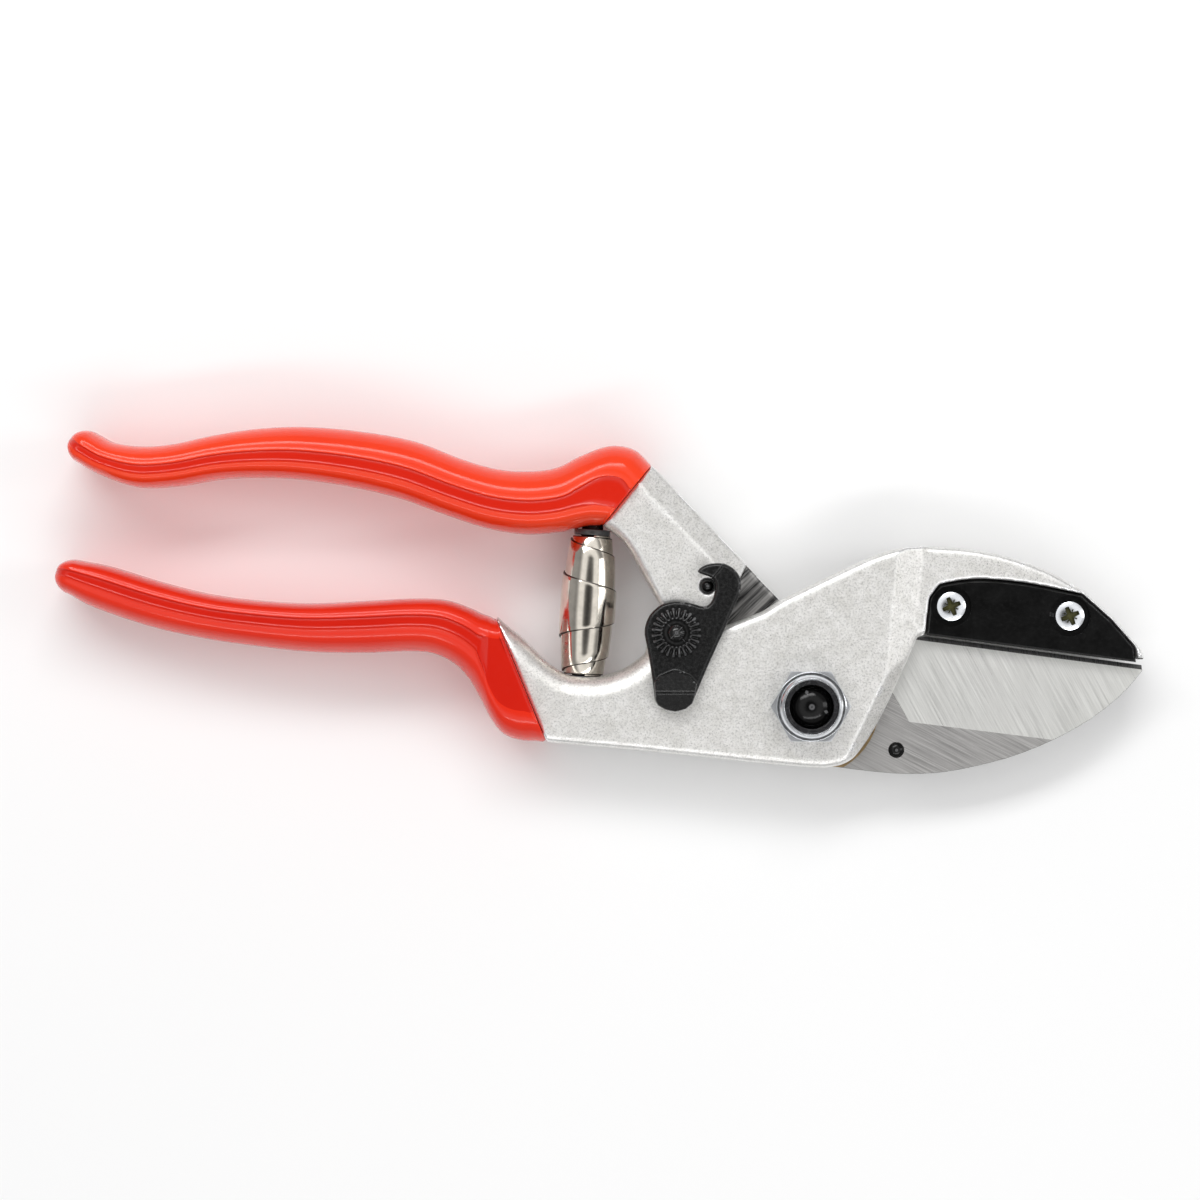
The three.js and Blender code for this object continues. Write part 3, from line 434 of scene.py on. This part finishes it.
def lathe(name, profile_mm, at, segments, radius_of=lambda radius, angle: radius):
    """A solid of revolution about the vertical through at: profile is (radius, height) in mm.
    radius_of(radius, angle) may change a ring's radius round the circle."""
    return grid_mesh(name, [circle(at, segments, lambda angle: (radius_of(radius, angle), height))
                            for radius, height in profile_mm])


def quarter_round(radius, rim, crown, steps):
    """The profile of a dome of this radius, from its rim's height up to its crown's."""
    angles = [math.pi / 2 * i / steps for i in range(steps + 1)]
    return [(max(NEAR_AXIS, radius * math.cos(a)), rim + (crown - rim) * math.sin(a)) for a in angles]


# ---------------------------------------------------------------- grips
# Outline of each grip in mm: the palm edge and the inner edge, from the rear end to the mouth.
GRIPS = {
    "blade_handle_grip": (
        [(-134, 51.1), (-130.5, 49.4), (-125, 48.8), (-119.3, 49.3), (-112, 50.9), (-104, 52.1),
         (-95, 52.5), (-84.1, 51.6), (-74, 49.7), (-65, 46.3), (-58.5, 44.5), (-52.5, 44.1),
         (-47.4, 44.8), (-43.3, 46.8), (-38.8, 48.6), (-35.6, 48.9), (-32.4, 48), (-29.6, 45.4)],
        [(-138, 45.9), (-133.5, 43.4), (-126.5, 41.1), (-119, 41.3), (-110.8, 42.6), (-103, 42.9),
         (-95.2, 42.5), (-86, 41.1), (-77.2, 39), (-68.8, 36), (-60.5, 33.3), (-53.2, 32.2),
         (-47, 32.6), (-43.7, 33.3), (-41.6, 33.75), (-40.4, 33.8), (-39.5, 33.85), (-38.9, 33.9)]),
    "anvil_handle_grip": (
        [(-139.4, 20.9), (-134.4, 18.3), (-124.4, 14.9), (-114.3, 12.6), (-104.3, 11.1), (-94.1, 10),
         (-84.1, 9.8), (-75, 10.1), (-70.4, 9.6), (-66.6, 7.7), (-64, 5), (-61.8, 1.2), (-59.9, -2.5),
         (-57.5, -5.4), (-54, -6.7), (-49.5, -6.8)],
        [(-137.4, 27.3), (-131.5, 26.1), (-122, 23.2), (-112.6, 20.9), (-103.3, 19.7), (-93.7, 19.2),
         (-84.3, 19.6), (-74.5, 20.1), (-68.3, 19.8), (-64, 18.4), (-61.4, 17.2), (-60.2, 16.8),
         (-59.8, 16.6), (-59.5, 16.45), (-59.2, 16.3), (-58.9, 16.2)]),
}

# The grips' sections in mm: the land's depth, its ridges, and the roundness of the sides.
LAND_DEPTH = 0.26
RIDGE_HEIGHT = 0.16
RIDGE_HALF = 0.24
SIDE_STEPS = 16
SIDE_POWER = 0.833
LAND_FACES = 8
CAP_STEPS = 20


def curve_through(points, steps):
    """A Catmull-Rom curve through the points, with this many steps between each two."""
    spots = [Vector(p) for p in points]
    spots = [spots[0] * 2 - spots[1]] + spots + [spots[-1] * 2 - spots[-2]]
    curve = []
    for i in range(1, len(spots) - 2):
        a, b, c, d = spots[i - 1:i + 3]
        for k in range(steps):
            t = k / steps
            curve.append(0.5 * (2 * b + (c - a) * t + (2 * a - 5 * b + 4 * c - d) * t * t
                                + (3 * b - a - 3 * c + d) * t ** 3))
    return curve + [spots[-2]]


def grip_ring(palm, inner, half_height, middle_z, inset=0.0):
    """One section of a grip: full rounded sides and, on top and below, a flat land between two ridges."""
    length = (inner - palm).length
    along = (inner - palm) / length
    palm_band, inner_band = min(0.48 * length, 6.2), min(0.30 * length, 3.8)
    land = length - palm_band - inner_band
    fade = max(0.0, min(1.0, (8 - land) / 4)) * min(1.0, half_height / 9)
    depth, ridge = LAND_DEPTH * fade, RIDGE_HEIGHT * fade
    foot = min(RIDGE_HALF, land / 4)

    def side(band):
        """A side's points, from the section's middle height up to its ridge."""
        for k in range(SIDE_STEPS + 1):
            angle = math.pi / 2 * k / SIDE_STEPS
            yield (band * (1 - math.cos(angle) ** SIDE_POWER),
                   (half_height - ridge) * math.sin(angle) ** SIDE_POWER)

    palm_side = list(side(palm_band - foot))
    inner_side = [(length - across, rise) for across, rise in reversed(list(side(inner_band - foot)))]
    first_ridge = [(palm_band - 0.45 * foot, half_height - 0.45 * ridge),
                   (palm_band, half_height),
                   (palm_band + 0.45 * foot, half_height - 0.4 * depth),
                   (palm_band + foot, half_height - depth)]
    floor = [(palm_band + foot + (land - 2 * foot) * share, half_height - depth * 1.08)
             for share in (0.25, 0.5, 0.75)]
    last_ridge = [(2 * palm_band + land - across, rise) for across, rise in reversed(first_ridge)]
    top = palm_side + first_ridge + floor + last_ridge + inner_side
    upper = [(min(max(across, inset), length - inset), min(rise, half_height - inset))
             for across, rise in top]
    lower = [(across, -rise) for across, rise in reversed(upper[1:-1])]
    ring = []
    for across, rise in upper + lower:
        spot = palm + along * across
        ring.append(Vector((spot.x * MM, spot.y * MM, middle_z + rise * MM)))
    return ring


def square_to(direction, x_sign):
    """The direction square to this one whose X has this sign."""
    square = Vector((-direction.y, direction.x))
    return square if square.x * x_sign > 0 else -square


def grip_mesh(node):
    """The moulded grip: a loft through its sections, round at the rear and closed at its mouth."""
    low, high = corners(node)
    half_height, middle_z = (high.z - low.z) / 2 / MM, (high.z + low.z) / 2
    palm, inner = (curve_through(side, 10) for side in GRIPS[node])
    rear = (palm[0] + inner[0]) / 2
    radius = (palm[0] - inner[0]).length / 2
    chord = (palm[0] - inner[0]).normalized()
    back = square_to(chord, -1)
    rings = []
    for k in range(1, CAP_STEPS):
        angle = math.pi / 2 * k / CAP_STEPS
        spot = rear + back * radius * math.cos(angle)
        half = chord * (radius * math.sin(angle))
        rings.append(grip_ring(spot + half, spot - half, half_height * math.sin(angle) ** 0.6, middle_z))
    rings += [grip_ring(a, b, half_height, middle_z) for a, b in zip(palm[:-4], inner[:-4])]
    ahead = square_to((palm[-1] - inner[-1]).normalized(), 1)
    for forward, inset in ((-0.45, 0.0), (-0.15, 0.04), (0.08, 0.14), (0.24, 0.34)):
        shift = ahead * forward
        rings.append(grip_ring(palm[-1] + shift, inner[-1] + shift, half_height, middle_z, inset))
    side = SIDE_STEPS + 1
    upper = 2 * side + LAND_FACES + 3

    def material_of_slot(slot, ring):
        """1 on the sunk lands, which take the painted-shade material, and 0 elsewhere. The lower half runs
        back along the upper half's slots.
        """
        from_palm = slot if slot < upper else 2 * upper - 2 - slot - 1
        on_land = side + 1 <= from_palm < side + 1 + LAND_FACES
        return 1 if on_land and ring < len(rings) - 1 else 0

    mesh = grid_mesh(node + "_vinyl", rings, material_of_slot)
    smooth_shading(mesh, 60)
    return mesh


# ---------------------------------------------------------------- forged handles, catch, anvil
# The throat between the handles in mm: the anvil handle's edge and the blade handle's edge.
THROAT_LOWER = [(-62, 20.5), (-58, 16), (-53.5, 12.2), (-49.3, 8.1), (-45.7, 5.8), (-42, 5.3), (-38.4, 5.5),
                (-34.3, 7), (-30.7, 9.6), (-28.5, 12.5)]
THROAT_UPPER = [(-42, 33.8), (-38.9, 33.5), (-35.5, 30.5), (-32.5, 25.5), (-30.2, 20.5), (-29, 16)]


def round_off(mesh, edge_mm, width_mm, drop_mm):
    """Slope the faces of a forging down towards one of its edges, top and bottom alike."""
    roundness = 1.9
    spots = np.array([v.to_tuple() for v in curve_through(edge_mm, 6)]) * MM
    co = np.empty(len(mesh.vertices) * 3)
    mesh.vertices.foreach_get("co", co)
    co = co.reshape(-1, 3)
    middle_z = (co[:, 2].min() + co[:, 2].max()) / 2
    nearest = np.full(len(co), np.inf)
    for a, b in zip(spots[:-1], spots[1:]):
        span = b - a
        share = np.clip(((co[:, :2] - a) @ span) / (span @ span), 0, 1)
        gap = np.linalg.norm(co[:, :2] - (a + share[:, None] * span), axis=1)
        nearest = np.minimum(nearest, gap)
    fall = np.clip(1 - nearest / (width_mm * MM), 0, 1) ** roundness * drop_mm * MM
    height = co[:, 2] - middle_z
    half = np.abs(height).max()
    co[:, 2] -= np.sign(height) * fall * np.clip(np.abs(height) / half, 0, 1)
    mesh.vertices.foreach_set("co", co.ravel())
    mesh.update()


def anvil_handle_mesh():
    """The anvil handle. The strip of its jaw that shows under the anvil has the second material, painted
    dark as the anvil's shade.
    """
    mesh = forged_mesh("anvil_handle", 0.36 * MM)
    round_off(mesh, THROAT_LOWER, 4.0, 1.9)
    heel, along = cutting_edge()
    half_strip = 1.3 * MM
    for polygon in mesh.polygons:
        local = polygon.center.xy - heel
        offset = local.x * along.y - local.y * along.x
        polygon.material_index = 1 if local.dot(along) > 0 and abs(offset) < half_strip else 0
    return mesh


def blade_handle_mesh():
    """The blade handle. The floor of its machined step has the second material, painted dark as the shade
    under the plate.
    """
    mesh = forged_mesh("blade_handle", 0.36 * MM)
    round_off(mesh, THROAT_UPPER, 2.6, 1.2)
    step_top = corners("slide_washer")[0].z + 0.25 * MM
    step_low = step_top - 1.5 * MM
    for polygon in mesh.polygons:
        on_floor = step_low < polygon.center.z < step_top and polygon.normal.z > 0.6
        polygon.material_index = 1 if on_floor else 0
    return mesh


def anvil_mesh():
    """The anvil, with its lower edge drawn towards the blade's edge at the nose."""
    mesh = bevelled_mesh("anvil", 0.25 * MM)
    low, high = corners("anvil")
    heel, along = cutting_edge()
    reach, pull = 1.6 * MM, 0.5 * MM
    for vertex in mesh.vertices:
        local = vertex.co.xy - heel
        above = local.y * along.x - local.x * along.y
        if above < reach:
            share = max(0.0, (vertex.co.x - low.x) / (high.x - low.x))
            vertex.co.y -= pull * share ** 1.3
    return mesh


new_piece("anvil_handle_forging", "anvil_handle", anvil_handle_mesh(), FORGED, ANVIL_STRIP_SHADE)
new_piece("blade_handle_forging", "blade_handle", blade_handle_mesh(), FORGED, MACHINED_SHADE)
new_piece("anvil_handle_vinyl", "anvil_handle_grip", grip_mesh("anvil_handle_grip"),
          VINYL_LOWER_PAINTED_SHADE, PAINTED_SHADE_LOWER_LAND)
new_piece("blade_handle_vinyl", "blade_handle_grip", grip_mesh("blade_handle_grip"),
          VINYL_UPPER_PAINTED_LIT, PAINTED_SHADE_UPPER_LAND)
new_piece("catch_hook", "catch_plate", forged_mesh("catch_plate", 0.16 * MM), CATCH_STEEL)
new_piece("anvil_block", "anvil", anvil_mesh(), BLACK_GLOSS)


# ---------------------------------------------------------------- blade
def blade_mesh():
    """The blade with a material for its flats, its two long ground facets and its cutting edge, which is
    painted nearly black as shade.
    """
    mesh = bevelled_mesh("blade", 0.05 * MM, 1, 25)
    heel, along = (place.to_3d() for place in cutting_edge())
    inward = Vector((along.y, -along.x, 0))
    strip = 0.85 * MM
    bm = bmesh.new()
    bm.from_mesh(mesh)
    bmesh.ops.bisect_plane(bm, geom=bm.verts[:] + bm.edges[:] + bm.faces[:],
                           plane_co=heel + inward * strip, plane_no=inward)
    bm.to_mesh(mesh)
    bm.free()
    flat, facet, edge = 0, 1, 2
    flat_tilt, facet_tilt, wall_tilt = 1.5, 9, 60
    for polygon in mesh.polygons:
        tilt = math.degrees(math.acos(min(1.0, abs(polygon.normal.z))))
        kind = flat if tilt < flat_tilt or tilt > wall_tilt else facet if tilt < facet_tilt else edge
        local = polygon.center - heel
        if local.dot(inward) < strip and local.dot(along) > 0:
            kind = edge
        polygon.material_index = kind
    return mesh


new_piece("blade_steel", "blade", blade_mesh(), GROUND_FLAT, GROUND_FACET, GROUND_EDGE_SHADE)


# ---------------------------------------------------------------- small turned pieces
FLUTES = 24
FLUTE_START = 2.75


def turned_piece(name, node, profile, material, segments):
    mesh = lathe(name, profile, centre(node), segments)
    smooth_shading(mesh, 40)
    new_piece(name, node, mesh, material)


def domed_pin(name, node, material, rise):
    """A plain pin with a domed top, as tall and as wide as its node."""
    radius, bottom, top = turned_size(node)
    profile = [(NEAR_AXIS, bottom), (radius, bottom)] + quarter_round(radius, top - rise, top, 12)
    turned_piece(name, node, profile, material, 64)


def pivot_bolt():
    """The pivot bolt: a thin flat head, the shank, and a smooth domed end standing in the nut's collar."""
    head, bottom, top = turned_size("pivot_bolt")
    head_top = corners("pivot_bolt_washer")[0].z / MM - 0.05
    crown = corners("pivot_nut")[1].z / MM - 0.15
    shank, neck, end = 3.95, 3.7, 3.55
    foot = top - 1.2
    profile = [(NEAR_AXIS, bottom), (head - 0.5, bottom), (head - 0.15, bottom + 0.15), (head, bottom + 0.5),
               (head, head_top - 0.1), (head - 0.1, head_top), (shank, head_top), (shank, foot - 0.4),
               (neck, foot - 0.1)] + quarter_round(end, foot, crown, 16)
    turned_piece("pivot_bolt_domed", "pivot_bolt", profile, BLACK_DOME, 96)


def knurled_screw():
    """The catch's pivot screw: a fluted cone round a flat, and a dome in the middle."""
    at = centre("catch_screw")
    outer, bottom, top = turned_size("catch_screw")
    shank, rim_depth, cone_depth, flute_fade = 1.6, 0.5, 0.42, 0.5
    face = top - 1.15
    profile = [(NEAR_AXIS, bottom), (shank, bottom), (shank, face - 1.25), (outer, face - 1.25),
               (outer, face - 0.75), (outer - 0.18, face - 0.5), (4.1, face - 0.34), (3.7, face - 0.2),
               (3.3, face - 0.09), (3.0, face - 0.02), (FLUTE_START, face), (2.4, face), (2.0, face - 0.04),
               (1.72, face - 0.1)] + quarter_round(1.62, face - 0.1, top, 12)

    def flute(angle, power):
        return (0.5 + 0.5 * math.cos(FLUTES * angle)) ** power

    def fluted_radius(radius, angle):
        return radius if radius < outer - 0.3 else radius - rim_depth * flute(angle, 1.5)

    mesh = lathe("catch_screw_knurled", profile, at, FLUTES * 14, fluted_radius)
    for vertex in mesh.vertices:
        x, y = vertex.co.x - at.x, vertex.co.y - at.y
        radius = math.hypot(x, y) / MM
        if radius > FLUTE_START and vertex.co.z / MM > face - 1.0:
            share = min(1, (radius - FLUTE_START) / flute_fade)
            vertex.co.z -= cone_depth * MM * flute(math.atan2(y, x), 1.4) * share
    smooth_shading(mesh, 50)
    new_piece("catch_screw_knurled", "catch_screw", mesh, BLACK_STEEL)


def cross_recess_screw(node):
    """A low round-topped screw head with a cross recess and a tick between each pair of arms."""
    at = centre(node)
    radius, bottom, top = turned_size(node)
    turn = math.radians(22)
    depth, crown, head_height, shank = 0.8, 0.42, 1.4, 1.6
    segments = 240

    def recess(x, y):
        """How far down the recess is here, from 0 outside it to 1 at its floor."""
        u, v = x * math.cos(turn) + y * math.sin(turn), -x * math.sin(turn) + y * math.cos(turn)
        aside, reach = min(abs(u), abs(v)), max(abs(u), abs(v))
        wall = min(1.0, max(0.0, (0.50 - 0.10 * reach - aside) / 0.09 + 0.5))
        arm_end = min(1.0, max(0.0, (1.75 - reach) / 0.1))
        p, q = abs(u + v) / math.sqrt(2), abs(u - v) / math.sqrt(2)
        on_tick = min(p, q) < 0.10 and 0.8 < max(p, q) < 1.35
        return max(wall * arm_end, 0.35 if on_tick else 0.0)

    def face_ring(r):
        def point_of(angle):
            sunk = depth * recess(r * math.cos(angle), r * math.sin(angle))
            return r, top - crown * (r / radius) ** 2.6 - sunk
        return circle(at, segments, point_of)

    face_radii = [NEAR_AXIS] + [0.1 * k for k in range(1, 21)] + [2.2, 2.4, radius - 0.12]
    below = [(radius, top - 0.6), (radius, top - head_height), (shank, top - head_height), (shank, bottom),
             (NEAR_AXIS, bottom)]
    rings = [face_ring(r) for r in face_radii]
    rings += [circle(at, segments, lambda angle: point) for point in below]
    mesh = grid_mesh(node + "_cross", rings)
    # Faces down in the recess take the second material: painted shade.
    for polygon in mesh.polygons:
        x, y = (polygon.center.x - at.x) / MM, (polygon.center.y - at.y) / MM
        inside = math.hypot(x, y) < 2.0 and polygon.center.z / MM > top - 1.2
        polygon.material_index = 1 if inside and recess(x, y) > 0.3 else 0
    smooth_shading(mesh, 32)
    new_piece(node + "_cross", node, mesh, ZINC, RECESS_SHADE)


domed_pin("catch_pin_domed", "catch_pin", BLACK_DOME, 1.1)
domed_pin("blade_rivet_domed", "blade_rivet", BLACK_DOME, 0.75)
pivot_bolt()
knurled_screw()
cross_recess_screw("anvil_screw_rear")
cross_recess_screw("anvil_screw_front")

for name, node, material, width in (
    ("pivot_nut_zinc", "pivot_nut", ZINC, 0.22),
    ("pivot_insert_ring", "pivot_nut_insert", NYLON, 0.15),
    ("pivot_washer_zinc", "pivot_bolt_washer", ZINC, 0.1),
    ("pivot_bush_bronze", "pivot_bush", BRONZE, 0.1),
    ("slide_washer_bronze", "slide_washer", BRONZE, 0.08),
    ("catch_washer_spring", "catch_washer", ZINC, 0.03),
    ("spring_seat_lower_black", "spring_seat_lower", BLACK_STEEL, 0.15),
    ("spring_seat_upper_black", "spring_seat_upper", BLACK_STEEL, 0.15),
):
    new_piece(name, node, bevelled_mesh(node, width * MM), material)


# ---------------------------------------------------------------- double volute spring
def spring_axis():
    """The two ends of the spring's axis, read from the two seats' boxes."""
    foot = centre("volute_spring")
    low, high = corners("volute_spring")
    lower, upper = centre("spring_seat_lower"), centre("spring_seat_upper")
    along = (upper - lower).normalized()
    half = (high.y - low.y) / 2 / along.y
    return foot - along * half, foot + along * half, along


def volute_strip():
    """One steel strip rolled up, with its outer end tapered to a point at the barrel's waist."""
    foot, head, along = spring_axis()
    middle = (foot + head) / 2
    half_length = (head - foot).length / 2 / MM
    side = Vector((0, 0, 1))
    across = along.cross(side)
    turns, steps_per_turn = 3.6, 72
    outer_radius, layer, thickness = 5.5, 0.34, 0.24
    taper_per_turn, first_half_width, bulge = 6.5, 0.5, 0.95
    lip, lip_drop = 0.22, 0.09
    start_angle = math.radians(-132)
    rings = []
    for i in range(int(turns * steps_per_turn) + 1):
        turn = i / steps_per_turn
        angle = start_angle + 2 * math.pi * turn
        wide = first_half_width + taper_per_turn * turn
        full = half_length - 0.8 + 0.45 * max(0.0, turn - 1.8)
        half_width = min(wide, full, half_length)
        flat = half_width - lip
        heights = [half_width, flat] + [flat * (1 - k / 6) for k in range(1, 12)] + [-flat, -half_width]
        ring = []
        for inner in (0, 1):
            for height in heights if inner == 0 else reversed(heights):
                radius = outer_radius - layer * turn - inner * thickness
                radius -= bulge * abs(height / half_length) ** 2.2
                radius -= lip_drop if inner == 0 and abs(height) == half_width else 0
                spot = middle + along * height * MM
                ring.append(spot + (across * math.cos(angle) + side * math.sin(angle)) * radius * MM)
        rings.append(ring)
    mesh = grid_mesh("volute_spring_strip", rings)
    # Narrow edge faces of the strip take the second material: painted shade in the seams.
    narrow, small = 0.3 * MM, 0.16 * MM * MM
    for polygon in mesh.polygons:
        shortest = min((mesh.vertices[a].co - mesh.vertices[b].co).length for a, b in polygon.edge_keys)
        polygon.material_index = 1 if shortest < narrow and polygon.area < small else 0
    smooth_shading(mesh, 40)
    piece = add_object("volute_spring_strip", mesh)
    set_materials(mesh, [NICKEL, NICKEL_SEAM_SHADE])
    tuple(foot)
    tuple(head)
    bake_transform(piece)
    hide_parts("volute_spring")


volute_strip()


# ---------------------------------------------------------------- floor, light and camera
def studio():
    """A plain pale floor, and a sky with a bright ring high up and a dark patch straight above."""
    shade = Shader("floor_pale", Roughness=0.6)
    shade.set("Base Color", shade.mix(shade.noise(6, 2), (0.90, 0.90, 0.90), (0.93, 0.93, 0.93)))
    half = 3.0
    mesh = bpy.data.meshes.new("floor")
    low = CAD_BOX[0][2] - 0.2 * MM
    mesh.from_pydata([(-half, -half, low), (half, -half, low), (half, half, low), (-half, half, low)], [],
                     [(0, 1, 2, 3)])
    floor = add_object("floor", mesh)
    mesh.materials.append(shade.material)

    world = bpy.data.worlds.new("studio")
    bpy.context.scene.world = world
    world.use_nodes = True
    tree = world.node_tree
    background = tree.nodes["Background"]
    place = tree.nodes.new("ShaderNodeTexCoord")
    split = tree.nodes.new("ShaderNodeSeparateXYZ")
    tree.links.new(place.outputs["Generated"], split.inputs[0])
    ramp = tree.nodes.new("ShaderNodeValToRGB")
    stops = [(0.0, 0.50), (0.45, 0.45), (0.62, 0.35), (0.70, 0.6), (0.80, 1.3), (0.93, 1.3), (0.975, 0.22),
             (1.0, 0.06)]
    while len(ramp.color_ramp.elements) < len(stops):
        ramp.color_ramp.elements.new(0.5)
    for element, (spot, level) in zip(ramp.color_ramp.elements, stops):
        element.position = spot
        element.color = (level, level, level, 1)
    tree.links.new(split.outputs["Z"], ramp.inputs["Fac"])
    tree.links.new(ramp.outputs["Color"], background.inputs["Color"])
    background.inputs["Strength"].default_value = 0.80


def area_light(name, spot, target, size, energy):
    data = bpy.data.lights.new(name, "AREA")
    data.shape = "RECTANGLE"
    data.size, data.size_y = size
    data.energy = energy
    lamp = add_object(name, data)
    lamp.location = spot
    lamp.rotation_euler = (Vector(target) - Vector(spot)).to_track_quat("-Z", "Y").to_euler()


def camera():
    """A long lens straight above the aim, which sees the picture width at the aim's height."""
    picture_width, aim = 0.2259, Vector((-0.0392, 0.0198, 0.012))
    data = bpy.data.cameras.new("camera")
    data.lens = 100
    data.sensor_width = 36
    obj = add_object("camera", data)
    obj.location = aim + Vector((0, 0, picture_width * data.lens / data.sensor_width))
    obj.rotation_euler = (0, 0, 0)
    bpy.context.scene.camera = obj


studio()
area_light("key_far", (-0.20, 0.60, 0.72), (-0.04, 0.02, 0), (0.9, 0.22), 4.2)
area_light("fill_near", (0.05, -0.50, 0.66), (-0.04, 0.02, 0), (0.9, 0.10), 1.4)
area_light("fill_side", (0.78, 0.10, 0.52), (0.0, 0.01, 0), (0.25, 0.5), 1.2)
camera()
bpy.context.scene.view_settings.view_transform = "Standard"
